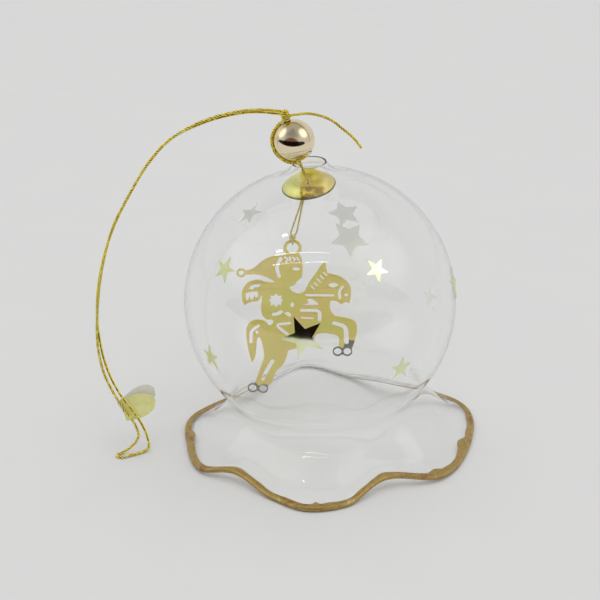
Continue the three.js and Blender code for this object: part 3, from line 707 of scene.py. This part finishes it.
inside = []
for i, place in enumerate(outside):
    along = heading(outside, i)
    inside.append(place + BLOWN_WALL * Vector((-along.y, along.x, 0)))
inside[0] = Vector((LIP_INSIDE, LIP_HEIGHT - BLOWN_WALL, 0))
rounding = [
    outside[-1] + BLOWN_WALL / 2 * Vector((-1 + cos(t), sin(t) * 1.6 * MOUTH_ROUND, 0))
    for t in (pi * k / 8 for k in range(1, 8))
]
glass_profile = [(p.x, p.y) for p in [*outside, *rounding, *reversed(inside)]]
print("glass profile places:", len(glass_profile), "mouth at, mm:", round(MOUTH_HEIGHT, 2))

# %% [markdown]
# ### Clear glass
# Real glass bends and reflects light, and a lamp's light also passes through it. A render's shadow
# rays don't bend, so a plain glass shader would throw a solid shadow. The finish therefore turns
# transparent for shadow rays alone. Blown glass is never quite even, so a slow, shallow bump
# makes its reflections waver a little.

# %% The glass's finish and piece
def blown_glass(bench):
    slow = bench.noise(0.06, 1.0)
    drawn = bench.noise(0.35, 2.0, stretch=(1, 1, 0.35))
    values = {
        "Base Color": (0.985, 0.99, 0.985, 1),
        "Roughness": 0.0,
        "IOR": 1.42,
        "Transmission Weight": 1.0,
        "Normal": bench.bump(slow + drawn * 0.12, 0.05, 0.25),
    }
    glass = bench.node("BsdfPrincipled", values=values)
    clear = bench.node("BsdfTransparent", values={"Color": (0.99, 0.992, 0.99, 1)})
    shadow = bench.light_path("Is Shadow Ray")
    return bench.node("MixShader", values={0: shadow, 1: glass, 2: clear})


glass_look = finish("clear blown glass", blown_glass)
bell = laid_on_bell(spun(glass_profile, 192))
bell = finished("blown_glass_bell", bell, "glass", [glass_look], ["glass_bell"])

# %% [markdown]
# ### The tubes on the ceiling
# Two long tubes, each with a slight bend, and two small lamps on the ceiling draw bright lines and
# spots on the globe. They light the glass alone, because the photograph's metal doesn't show them.

# %% Lamps seen only in the glass
CEILING = 1.5  # metres above the globe's middle
GLOBE_MIDDLE = Vector((-2.6, 0.9, 35.9)) * MM
CEILING_LAMPS = [
    # both ends as (x, y) shares of the ceiling's height, width, brightness
    ((-0.776, -0.368), (-0.294, -0.442), 0.02, 9.0),
    ((-0.294, -0.442), (0.132, -0.478), 0.02, 6.0),
    ((-0.926, -0.561), (-0.347, -0.645), 0.02, 9.0),
    ((-0.347, -0.645), (0.128, -0.655), 0.02, 8.0),
    ((-0.71, -0.31), (-0.585, -0.325), 0.07, 7.5),
    ((-0.52, -0.065), (-0.435, -0.075), 0.07, 8.5),
]
glass_only = bpy.data.collections.new("glass only")
glass_only.objects.link(bell)
for index, (start, stop, wide, bright) in enumerate(CEILING_LAMPS):
    start, stop = (CEILING * Vector((*end, 1)) for end in (start, stop))
    lamp = bpy.data.lights.new(f"ceiling {index}", "AREA")
    lamp.shape = "RECTANGLE"
    lamp.size, lamp.size_y = (stop - start).length, wide
    lamp.energy = bright * pi * lamp.size * lamp.size_y
    hung = bpy.data.objects.new(lamp.name, lamp)
    hung.location = (start + stop) / 2 + GLOBE_MIDDLE
    hung.rotation_euler = (0, 0, atan2(stop.y - start.y, stop.x - start.x))
    hung.light_linking.receiver_collection = glass_only
    scene.collection.objects.link(hung)
print("lamps:", len(CEILING_LAMPS))

# %% [markdown]
# ## The gilded edge
# Liquid gold is brushed round the skirt's edge and fired, so it is a rounded band with an uneven
# inner border, a few runs onto the glass and brown places. At the back the finish paints it pale
# grey and less metallic, with a faint painted glow that lifts it out of shade. A section is spun and
# laid on the same free-blown edge, with its inner points pushed further in where the brush slipped.

# %% The gilding's finish
# Where the painted pale grey and the painted glow of the far edge begin.
PAINTED_PALE_FROM = 20, 7  # mm behind the middle, and over how many


def fired_gold(bench):
    blotch = bench.noise(0.22, 3.0, 0.6)
    fine = bench.noise(1.4, 3.0)
    tone = bench.ramp(
        blotch,
        (0.3, 158, 118, 74),
        (0.45, 192, 162, 104),
        (0.58, 176, 152, 86),
        (0.72, 206, 182, 122),
    )
    tone = bench.blend(fine.over(0.62, 0.08) * 0.55, tone, colour(128, 84, 44))
    # Behind the middle the gold is painted pale grey and less metallic, and given a faint painted
    # glow, to lift the far edge out of shade.
    painted_pale_back = (bench.parts(bench.place())[1] / MM + blotch * 5).over(*PAINTED_PALE_FROM)
    tone = bench.blend(painted_pale_back, tone, colour(196, 196, 190))
    return skin(
        tone, 0.85 - painted_pale_back * 0.75, 0.3 + fine * 0.25, bench.bump(fine + blotch, 0.12, 0.5),
        glow=(bench.blend(painted_pale_back, (0, 0, 0, 1), tone), 0.12),
    )


gilding_look = finish("fired gold", fired_gold)

# %% The gilt lip
FILM = 0.07  # how thick the gold is where it ran
RUNS = [
    # angle from the front, half width in degrees, how far the gold ran in, in mm
    (-85, 5, 0.9), (-6, 1.6, 0.7), (74, 11, 0.75), (78, 6, 0.5), (49, 4, 0.75), (117, 5, 0.9),
    (-108, 4, 0.8),
]
brush = random.Random(7)
waves = [(brush.uniform(3, 40), brush.uniform(0, 6), brush.uniform(0.02, 0.09)) for _ in range(14)]


def run_in(angle):
    """How far in from the lip the gold reaches, in that direction."""
    spread = 0.03 + sum(size * sin(angle * round(rate) + start) for rate, start, size in waves)
    for at, half, reach in RUNS:
        off = (degrees(angle) - at + 180) % 360 - 180
        spread += reach * max(0, 1 - (off / half) ** 2) ** 1.5
    return max(0, spread)


def slope_at(out):
    """The height of the skirt's outside there, on the plain round bell."""
    flare = outside[: 4 * STEPS + 1]
    for a, b in zip(flare, flare[1:]):
        if b.x <= out <= a.x:
            return a.y + (b.y - a.y) * (a.x - out) / (a.x - b.x)
    return LIP_HEIGHT


half = LIP_WIDTH / 2
inner = MEAN_REACH - half
lip = []
for k in range(-6, 7):
    t = 2 * pi * k / 20
    lip.append((MEAN_REACH + half * cos(t), LIP_HEIGHT / 2 * (1 + sin(t))))
lip += [(inner - 0.02, LIP_HEIGHT + FILM), (inner - 0.5, LIP_HEIGHT + 0.05)]
lip += [(inner - 0.5, LIP_HEIGHT + 0.02), (inner + 0.02, LIP_HEIGHT - 0.25)]


def brushed(out, up, angle):
    """The film's inner points go as far in as the gold ran."""
    if out >= inner - 0.1:
        return out, up
    out = inner - 0.05 - run_in(angle)
    return out, slope_at(out) + (FILM if up > LIP_HEIGHT + 0.03 else 0.01)


rim = laid_on_bell(spun(lip, 360), brushed)
finished("gilded_edge", rim, "glass", [gilding_look], ["gilt_rim"])

# %% [markdown]
# ## The foil stars
# The stars are stamped from gold foil and stuck on the outside of the globe. Their backs are plain
# grey with a faint painted glow, and show through the glass at the far side. Some are dull and some
# mirror the room, and the ends of their points are painted dark grey as a painted dark reflection.
# Each star is a ten-sided disc whose every other corner is drawn in; it is cut finer, bent onto the
# globe, and its tips lift off a little.

# %% Foil finishes
def bright_foil(bench):
    crinkle = bench.noise(0.9, 3.0, 0.55)
    tint = bench.noise(0.25, 1.0)
    tone = bench.ramp(tint, (0.35, 234, 240, 186), (0.65, 250, 250, 226))
    dull = bench.mark("dull")
    tone = bench.blend(dull * 0.6, tone, colour(206, 214, 132))
    # The outer ends of the points are painted dark grey, a painted dark reflection.
    tip = bench.mark("tip")
    tone = bench.blend((tip + crinkle * 0.12).over(1.0, 0.06) * 0.85, tone, colour(96, 96, 92))
    return skin(tone, 1.0, 0.03 + crinkle * 0.08 + dull * 0.5, bench.bump(crinkle, 0.03, 0.2))


def foil_back(bench):
    smear = bench.noise(0.8, 3.0)
    tone = bench.blend(smear, colour(244, 244, 241), colour(253, 253, 251))
    # A faint painted glow lifts the backs, which get little light inside the globe.
    return skin(tone, 0.3, 0.5, bench.bump(smear, 0.03, 0.4), glow=(tone, 0.15))


star_looks = [finish("bright foil", bright_foil), finish("back of the foil", foil_back)]

# %% The stars
GLOBE_AT = Vector((-GLOBE_HEIGHT * sin(LEAN), AXIS_Y, GLOBE_HEIGHT * cos(LEAN)))
FOIL = 0.1
OVER_GLASS, OVER_FOIL = 0.12, 0.35  # how far a star lies over the glass, or over another star
STARS = [
    # node, size in mm, azimuth, height, turn, layer, how dull
    ("star_front_big", 5.3, -7.4, 9.9, 47, 0, 0.04),
    ("star_upper_left", 3.1, -51.2, 29.7, 4, 0, 0.9),
    ("star_upper_right", 3.1, 28.1, 34.9, 41, 0, 0),
    ("star_lower_left", 3.1, -52.3, -9.3, 68, 0, 0.5),
    ("star_lower_right", 3.1, 34.8, -8.5, 3, 0, 0.5),
    ("star_right_edge", 4.03, 82, 11, 20, 0, 0.6),
    ("star_back_low", 5.3, 166.3, 4.8, 40, 0, 0),
    ("star_back_high", 4.34, 168.3, 17.6, 20, 1, 0),
    ("star_back_left", 3.72, -144.6, 22.5, 50, 0, 0),
    ("star_back_right", 3.1, 119.7, -11.9, 10, 0, 0),
]
FAT_STARS = "star_back_low", "star_back_high"
for index, (node, size, azimuth_of, height_of, turn_of, layer, dull_of) in enumerate(STARS):
    shape = bmesh.new()
    bmesh.ops.create_circle(shape, cap_ends=True, cap_tris=True, segments=10, radius=size)
    corners = [vert for vert in shape.verts if vert.co.length > size / 2]
    corners.sort(key=lambda vert: atan2(vert.co.x, vert.co.y) % (2 * pi))
    for k, vert in enumerate(corners):
        drawn_in = 0.5 if node in FAT_STARS else 0.4
        reach = size * drawn_in if k % 2 else size
        vert.co = Vector((reach * sin(pi * k / 5), reach * cos(pi * k / 5), 0))
    bmesh.ops.subdivide_edges(shape, edges=shape.edges, cuts=3, use_grid_fill=True)
    crumple = random.Random(index + 3)
    sway = [crumple.uniform(-0.05, 0.22) for _ in range(5)]
    radius = GLOBE_RADIUS + OVER_GLASS + layer * OVER_FOIL
    tips, dulls = (shape.verts.layers.float.new(key) for key in ("tip", "dull"))
    for vert in shape.verts:
        out = vert[tips] = vert.co.length / size
        vert[dulls] = dull_of
        tip = round((atan2(vert.co.x, vert.co.y) % (2 * pi)) / (2 * pi / 5)) % 5
        lift = sway[tip] * max(0, out - 0.5) ** 2 * 4
        direction = Vector((vert.co.x, vert.co.y, radius)).normalized()
        vert.co = direction * (radius + lift)
    faces = list(shape.faces)
    bmesh.ops.recalc_face_normals(shape, faces=faces)
    if faces[0].normal.z < 0:
        bmesh.ops.reverse_faces(shape, faces=faces)
    bmesh.ops.solidify(shape, geom=faces, thickness=-FOIL)
    bmesh.ops.recalc_face_normals(shape, faces=shape.faces)
    for face in shape.faces:
        face.material_index = 1 if face.normal.z < -0.3 else 0
    turned = (
        Matrix.Translation(GLOBE_AT)
        @ turning(azimuth_of, "Z")
        @ turning(90 - height_of, "X")
        @ turning(-turn_of, "Z")
    )
    finished("foil_" + node, shape, "glass", star_looks, [node], crease=35, turned=turned)

# %% [markdown]
# ## The cap and the bead
# The cap is spun from thin sheet, which leaves fine rings round it. It hangs crooked under the neck.
# Its finish paints reflections by side: paler on the left, a peach highlight on the right, a darker
# brown reflection across the front, and painted shade along the rolled edge.
# The bead is polished metal, and mirrors the room. Both are turned profiles.

# %% Polished finishes
CAP_AT = Vector((-5.412, 0.85, 65.528))
CAP_TURN = turning(9, "X") @ Matrix.Rotation(-LEAN - radians(4.2), 4, "Y")
RINGS = 14  # how close together the spinning left them


def spun_gold(bench):
    centred = bench.node("Mapping", {"vector_type": "TEXTURE"}, {
        "Vector": bench.place(), "Location": CAP_AT * MM, "Rotation": CAP_TURN.to_euler(),
    })
    x, y, up = bench.parts(centred)
    out = (x * x + y * y) ** 0.5 / MM
    rings = bench.maths("SINE", out * RINGS) * 0.5 + 0.5
    # The same noise tints the gold at random and wavers the borders of the painted reflections.
    stain_and_sheen = bench.noise(0.5, 3.0)
    deep = bench.ramp(stain_and_sheen, (0.35, 226, 206, 70), (0.6, 236, 218, 92), (0.75, 214, 184, 74))
    # Painted reflections by side: the left is painted paler and the right gets a painted peach
    # highlight.
    side = x / MM + stain_and_sheen * 1.4
    tone = bench.blend(side.below(-1.0, 0.5), deep, colour(236, 234, 146))
    tone = bench.blend(side.over(4.2, 2.0) * 0.7, tone, colour(238, 218, 158))
    # A painted darker brown reflection across the front, between the two sides.
    front = (y / MM + stain_and_sheen * 2).below(-2.6, 0.8) * side.over(-1.0, 0.5) * side.below(4.6, 1.2)
    tone = bench.blend(front * stain_and_sheen.over(0.45, 0.2), tone, colour(150, 120, 52))
    # Painted shade: a dark band along the rolled edge.
    tone = bench.blend(out.over(6.14, 0.06), tone, colour(116, 104, 58))
    return skin(tone, 1.0, 0.4 + stain_and_sheen * 0.14, bench.bump(rings + stain_and_sheen * 0.8, 0.03, 0.3))


def champagne(bench):
    haze = bench.noise(0.5, 4.0)
    tone = bench.blend(haze, colour(240, 222, 184), colour(246, 232, 202))
    return skin(tone, 1.0, 0.05 + haze * 0.05, bench.bump(bench.noise(0.8, 2.0), 0.01, 0.15))


cap_look = finish("spun gold", spun_gold)
bead_look = finish("champagne metal", champagne)

# %% The cap
CAP_TOP = [
    (0.62, 0.38, 0), (1.4, 0.42, 0), (2.1, 0.9, 0), (3.0, 1.45, 0), (3.7, 1.6, 0), (4.5, 1.35, 0),
    (5.3, 0.85, 0), (5.9, 0.3, 0), (6.2, -0.12, 0),
]
top = through_places(CAP_TOP, 5)
under = [place + Vector((-0.12, -0.28, 0)) for place in top]
under[0].x = top[0].x
rolled = []
for k in range(1, 4):
    t = pi * k / 4
    rolled.append(top[-1] + Vector((0.02 + 0.1 * sin(t), 0.14 * cos(t) - 0.16, 0)))
cap_profile = [(p.x, p.y) for p in [*top, *rolled, *reversed(under)]]
finished(
    "spun_cap", spun(cap_profile, 96), "cap", [cap_look], ["gold_cap"],
    turned=Matrix.Translation(CAP_AT) @ CAP_TURN,
)

# %% The bead
BEAD_RADIUS, BEAD_HOLE = 5.0, 0.9
end_of = acos((BEAD_HOLE + 0.12) / BEAD_RADIUS)
ball = [
    (BEAD_RADIUS * cos(a), BEAD_RADIUS * sin(a))
    for a in (-end_of + 2 * end_of * k / 48 for k in range(49))
]
bore_end = BEAD_RADIUS * sin(end_of)
ball += [(BEAD_HOLE, up) for up in (bore_end - 0.05, bore_end - 0.4, 0.4 - bore_end, 0.05 - bore_end)]
finished(
    "champagne_bead", spun(ball, 96), "bead", [bead_look], ["bead"],
    turned=Matrix.Translation(BEAD_AT) @ turning(-17, "Y"),
)

# %% [markdown]
# ## The folded tag
# A small oval foil label is folded over both strands of the loop, gold side out in front and paper
# grey behind. Its print is left off. Each leaf is a disc drawn into half an oval, slightly bowed.

# %% The tag
def tag_gold(bench):
    rub = bench.noise(0.6, 3.0)
    tone = bench.ramp(rub, (0.3, 226, 224, 138), (0.6, 238, 234, 166), (0.8, 244, 238, 190))
    return skin(tone, 0.3, 0.34 + rub * 0.16, bench.bump(rub, 0.06, 0.3))


def tag_paper(bench):
    fibre = bench.noise(2.2, 3.0)
    tone = bench.blend(fibre, colour(206, 202, 190), colour(226, 223, 213))
    return {"Base Color": tone, "Roughness": 0.7, "Normal": bench.bump(fibre, 0.02, 0.4)}


TAG_FOLD = Vector((-49.75, -7.5, 10.45))
tag_face = Vector((0.161, -0.97, 0.182)).normalized()
tag_up = tag_face.cross(Vector((0.94, 0.21, 0.27))).normalized()
tag_along = tag_up.cross(tag_face)
TAG_TURN = Matrix.Translation(TAG_FOLD) @ Matrix((tag_along, tag_up, tag_face)).transposed().to_4x4()
TAG_SHEET, TAG_WIDTH, FRONT_LONG, BACK_LONG = 0.12, 6.2, 8.2, 9.4
TAG_OPENS, TAG_SKEW = 12, 15  # degrees


def leaf(shape, length, width, turned):
    """One leaf of the tag: straight at the fold, rounded at its end, and a little bowed."""
    made = bmesh.ops.create_grid(shape, x_segments=14, y_segments=10, size=0.5)["verts"]
    for vert in made:
        along = vert.co.x + 0.5
        swell = 0.84 + 0.16 * sin(pi * min(1, along / 0.7) / 2)
        taper = sqrt(max(0, 1 - max(0, (along - 0.35) / 0.65) ** 2.2))
        vert.co = Vector((
            length * along,
            width * vert.co.y * max(0.02, swell * taper),
            0.35 * sin(pi * along) * (1 - 2 * abs(vert.co.y)) * 0.5,
        ))
    bmesh.ops.transform(shape, matrix=turned, verts=made)
    return made


shape = bmesh.new()
front = leaf(shape, FRONT_LONG, TAG_WIDTH, Matrix.Identity(4))
front_faces = {face for vert in front for face in vert.link_faces}
leaf(shape, BACK_LONG, TAG_WIDTH, turning(TAG_SKEW, "Z") @ turning(TAG_OPENS, "Y"))
for face in shape.faces:
    face.material_index = 0 if face in front_faces else 1
bmesh.ops.remove_doubles(shape, verts=shape.verts, dist=0.05)
bmesh.ops.solidify(shape, geom=list(shape.faces), thickness=TAG_SHEET)
tag = finished(
    "folded_foil_tag", shape, "cord",
    [finish("tag gold", tag_gold), finish("tag paper", tag_paper)], ["foil_tag"], turned=TAG_TURN,
)

# %% [markdown]
# ## The clapper and its thread
# The clapper is cut from thin brass sheet, as a rider in a stocking cap on a prancing horse, an old
# folk figure. The cutter's line is drawn as a flat curve, whose small bevel rounds the edges that
# the photograph shows catching light. The hoofs have gone dark.

# %% The brass and the thread
CLAPPER_AT = Vector((-9.412, 0.85, 49.828))
HOOFS = [(-9.5, -37.35), (-7.0, -37.55), (11.1, -27.45), (13.4, -27.45)]
BURNT = (14.1, -25.5)  # a dark patch on the fore leg


def cut_brass(bench):
    place = bench.place()
    cloud = bench.noise(0.12, 2.0)
    grain = bench.noise(1.2, 3.0, stretch=(1, 1, 0.25))
    tone = bench.ramp(cloud, (0.35, 238, 216, 142), (0.5, 236, 220, 132), (0.68, 228, 224, 134))
    nearest = None
    for x, z in [*HOOFS, BURNT]:
        spot = (CLAPPER_AT + Vector((x, 0, z - 0.2))) * MM
        far = bench.vector("DISTANCE", place, spot, out="Value") / MM
        nearest = far if nearest is None else bench.maths("MINIMUM", far, nearest)
    ragged = nearest + (bench.noise(0.6, 2.0) - 0.5) * 1.2
    tarnish = ragged.below(1.6, 0.5)
    tone = bench.blend(tarnish, tone, colour(136, 132, 122))
    return skin(
        tone, 0.95, 0.26 + grain * 0.14 + tarnish * 0.15, bench.bump(grain + cloud, 0.02, 0.3)
    )


def spun_thread(bench):
    crest = bench.mark("crest")
    speck = bench.noise(2.2, 2.0)
    # Painted shade and highlight: the grooves between plies are painted darker and the crests
    # lighter.
    shade = crest * 0.7 + speck * 0.5
    tone = bench.ramp(shade, (0.2, 150, 124, 58), (0.5, 226, 208, 112), (0.9, 246, 240, 176))
    fuzz = bench.bump(speck, 0.04, 0.5)
    return skin(tone, 0.7, 0.4, fuzz)


brass_look = finish("cut brass", cut_brass)
thread_look = finish("gold thread", spun_thread)

# %% The clapper's outline
RING_AT = (0.25, -0.3)  # a little off the hanging point
RING_OUTER, RING_INNER, HOOF_OUTER, HOOF_INNER = 2.15, 1.4, 1.22, 0.92


def smooth_run(line, *stops):
    """Takes the line on smoothly through more places."""
    run = through_places([(*line[-1], 0), *((x, z, 0) for x, z in stops)], 7)
    line += [(p.x, p.y) for p in run[1:]]


def arc(line, middle, radius, start, stop, sides=18):
    """Takes the line round an arc, from one angle to another."""
    for i in range(sides + 1):
        turn = radians(start + (stop - start) * i / sides)
        line.append((middle[0] + radius * cos(turn), middle[1] + radius * sin(turn)))


FIGURE = [
    # a tuple is an arc: its middle, radius, start, stop and sides; a list is a smooth run of places
    (RING_AT, RING_OUTER, -45, 225, 36),
    [(-2.7, -2.3), (-4.4, -2.4), (-6.9, -3.6), (-8.9, -5.4), (-10.6, -6.1)],
    ((-11.9, -6.7), 1.15, 30, 335, 24),
    [(-8.4, -7.1), (-6.1, -7.7), (-3.5, -9.3)],
    [(-5.6, -9.2), (-8.2, -8.5), (-10.4, -9.3), (-11.7, -11.4), (-11.8, -13.6), (-11.3, -15.1)],
    [(-9.8, -14.3), (-8.1, -14.1)],
    [(-7.6, -13.5), (-7.1, -12.4)],
    [(-7.1, -14), (-7.3, -16), (-6.9, -17.9), (-5.9, -18.9)],
    [(-4.6, -19), (-4.5, -20), (-5.3, -20.6)],
    [(-6.6, -19.3), (-8.2, -19), (-9.9, -19.6), (-10.8, -21.3), (-10.9, -23.5)],
    [(-10.4, -27.2), (-9.6, -30.6)],
    [(-8.8, -28.8), (-8.5, -26.2), (-8.2, -23.9), (-7.7, -23.4)],
    [(-7.1, -25.3), (-6.7, -28.9), (-7.4, -31.2), (-8.2, -33.6), (-8.9, -35.8)],
    (HOOFS[0], HOOF_OUTER, 70, 322),
    (HOOFS[1], HOOF_OUTER, 215, 390),
    [(-4.8, -35.6), (-3.8, -33), (-2.1, -31), (-1.3, -29.1), (-0.8, -27.2)],
    [(0.6, -26.7), (3.2, -25.9), (5, -24.7), (6, -22.9), (7.4, -22.5), (9.9, -22.8)],
    [(11.1, -23.3), (11.4, -24.3), (11.3, -25.8)],
    (HOOFS[2], HOOF_OUTER, 88, 320),
    (HOOFS[3], HOOF_OUTER, 220, 390),
    [(15.2, -24.4), (15.7, -21.1), (15.2, -19.5), (14.3, -18.9), (12.3, -18.4), (10.3, -18)],
    [(9.5, -16.9), (9.1, -15.3), (9.3, -13.9)],
    [(10.6, -14), (11.8, -14.9)],
    [(12.8, -14.3), (13.8, -14.6)],
    [(14.1, -12.8), (14, -10.5), (13, -8.8), (11.4, -7.6), (9.8, -7.1), (8.5, -6.8)],
    [(8.2, -5.4), (8.1, -3.8)],
    [(7.2, -4.5), (5.8, -6.8), (4.3, -9), (3.1, -11.6)],
    [(1.8, -12.1), (0.3, -11.6), (-0.6, -10.4)],
    [(0.8, -9.7), (1.3, -8.9), (2.4, -7.8), (2.6, -6.3), (2.6, -4.1), (2.3, -2.7)],
]
figure = []
for part in FIGURE:
    (smooth_run if isinstance(part, list) else arc)(figure, *part)
print("outline places:", len(figure))

# %% The openings cut through it
def round_hole(middle, radius, tall=None):
    """A round opening, or an oval one with that half height."""
    x, z = middle
    sides = max(12, round(radius * 22))
    turns = [2 * pi * i / sides for i in range(sides)]
    return [(x + radius * cos(turn), z + (tall or radius) * sin(turn)) for turn in turns]


def slot_cut(width, *stops):
    """A long narrow opening with round ends, along its stops."""
    line = [Vector((*stop, 0)) for stop in stops]
    if len(stops) > 2:
        line = through_places(line, 6)
    one, other = [], []
    for i, place in enumerate(line):
        along = heading(line, i)
        side = Vector((-along.y, along.x, 0)) * width / 2
        one.append(place + side)
        other.append(place - side)
    ends = []
    for a, b in ((line[-2], line[-1]), (line[1], line[0])):
        along = (b - a).normalized()
        side = Vector((-along.y, along.x, 0))
        turns = [pi * k / 6 for k in range(1, 6)]
        ends.append([b + width / 2 * (side * cos(t) + along * sin(t) * 0.9) for t in turns])
    return [(p.x, p.y) for p in [*one, *ends[0], *reversed(other), *ends[1]]]


def flower(middle, petals, outer, inner):
    """A flower's opening, whose border goes out and in for each petal."""
    line = []
    for i in range(petals * 2):
        reach, turn = inner if i % 2 else outer, pi * i / petals
        line.append((middle[0] + reach * cos(turn), middle[1] + reach * sin(turn)))
    return line


openings = [
    round_hole(RING_AT, RING_INNER),
    round_hole((-11.9, -6.7), 0.65),
    slot_cut(0.85, (-2.5, -3.0), (-3.4, -5.2), (-2.9, -7.7)),
    slot_cut(0.55, (-1.55, -2.7), (-0.95, -3.2), (-1.3, -3.95)),
    slot_cut(0.5, (-0.45, -2.6), (-0.25, -3.1), (-0.45, -3.7)),
    slot_cut(0.5, (0.35, -2.75), (0.75, -3.2), (0.4, -3.9)),
    slot_cut(0.45, (1.3, -2.7), (1.65, -3.5)),
    round_hole((1.1, -5.7), 0.92, 0.5),
    [
        (-9.5, -9.9), (-8.3, -9.6), (-7.1, -9.7), (-7.8, -10.5), (-8.8, -10.6), (-9.2, -11.1),
        (-10.3, -10.9),
    ],
    [
        (-10.9, -11.9), (-9.6, -11.6), (-8.1, -11.5), (-7.9, -12.8), (-8.5, -13.4), (-8.8, -12.5),
        (-9.2, -13.7), (-9.8, -13.8), (-9.9, -12.7), (-10.4, -14.0), (-10.9, -13.6),
    ],
    flower((-3.7, -13.9), 8, 2.1, 1.4),
    slot_cut(1.0, (-4.3, -17.6), (-3.2, -17.4), (-2.5, -16.9)),
    round_hole((0.15, -15.1), 0.55, 0.85),
    slot_cut(0.95, (-1.1, -17.3), (-0.5, -17.8)),
    slot_cut(0.75, (3.6, -12.5), (9.9, -12.6)),
    [
        (1.9, -15.1), (3.9, -14.6), (3.5, -13.5), (4.8, -13.3), (6.6, -14.7), (6.3, -15.3),
        (4.6, -15.3), (2.1, -15.4),
    ],
    slot_cut(0.9, (2.4, -16.5), (6.5, -16.9), (6.7, -19.1)),
    slot_cut(0.55, (2.3, -18.5), (5.2, -18.6)),
    slot_cut(0.8, (-0.4, -19.9), (-3.3, -20.5), (-1.1, -22.8)),
    slot_cut(0.8, (-7.9, -20.6), (-9.5, -22.0), (-9.8, -25)),
    slot_cut(0.95, (-4.6, -30.0), (-6.0, -32.6), (-7.0, -34.9)),
    slot_cut(1.1, (10.2, -19.9), (12.7, -21), (13.2, -25.1)),
    round_hole((9.9, -9.9), 1.15, 0.6),
    slot_cut(0.65, (12.1, -10.3), (11.4, -11.6), (11.5, -13.3)),
    round_hole((13.0, -12.5), 0.48),
    round_hole((-8.3, -22.3), 0.35, 0.55),
    *(round_hole(hoof, HOOF_INNER) for hoof in HOOFS),
]
MANE_CUTS = 5
for i in range(MANE_CUTS):
    x, z = 4.8 + i * 0.72, -10.5 + i * 0.9
    openings.append(slot_cut(0.44, (x - 0.15, z + 0.35), (x + 0.6, z - 0.45)))
print("openings:", len(openings))

# %% The clapper's plate
SHEET, EDGE_ROUND = 0.5, 0.07
drawing = bpy.data.curves.new("clapper drawing", "CURVE")
drawing.dimensions = "2D"
drawing.fill_mode = "BOTH"
drawing.extrude = SHEET / 2 - EDGE_ROUND
drawing.bevel_depth = EDGE_ROUND
drawing.bevel_resolution = 2
drawing.offset = -EDGE_ROUND
for line in [figure, *openings]:
    drawn_line(drawing, [(x, z, 0) for x, z in line], closed=True)
shape = shape_from(placed(drawing))
finished(
    "cut_brass_rider", shape, "clapper", [brass_look], ["clapper_plate"], crease=35,
    turned=Matrix.Translation(CLAPPER_AT) @ turning(90, "X"),
)

# %% [markdown]
# ### The thread
# One thread makes a hairpin from the knot under the cap down to the tie, whose own ring goes
# through the hanging ring. Both are laid cord, thinner, and gold with painted shade in the grooves
# between plies and a painted highlight on the crests.

# %% The hairpin and the tie
THREAD, TIE_THREAD, TIE_RING = 0.5, 0.42, 0.8  # two diameters, and the ring's radius
ring_top = CLAPPER_AT + Vector((RING_AT[0], 0, RING_AT[1] + (RING_OUTER + RING_INNER) / 2))
tie_at = ring_top + Vector((0, 0, 0.88))
foot = tie_at + Vector((0, 0, 0.15))
thread_head = Vector(STOP_KNOT) + Vector((0, 0, -1.5))
half_gap = THREAD / 2 + 0.225
# share of the way down, and how far out from the middle there, as a share of the half gap
DOWN = [(0, 0.5), (0.2, 0.52), (0.4, 0.8), (0.62, 1.1), (0.84, 1.35), (0.93, 1.2)]


def leg(side):
    return [thread_head.lerp(foot, d) + Vector((side * out * half_gap, 0, 0)) for d, out in DOWN]


laid_cord(
    "clapper_hairpin_thread", "clapper_thread", [*leg(1), foot, *reversed(leg(-1))], THREAD,
    thread_look, body="thread", lay=1.6,
)

ring = []
for k in range(1, 16):
    turn = 2 * pi * k / 16
    ring.append(ring_top + Vector((0.05 * cos(2 * turn), TIE_RING * sin(turn), TIE_RING * cos(turn))))
wound = coil(tie_at, 0.85, 1.15, TIE_THREAD, 2, radians(8))
laid_cord(
    "tie_of_the_clapper", "tie_knot", [*wound, *ring, wound[0]], TIE_THREAD,
    thread_look, body="tie", lay=1.5,
)
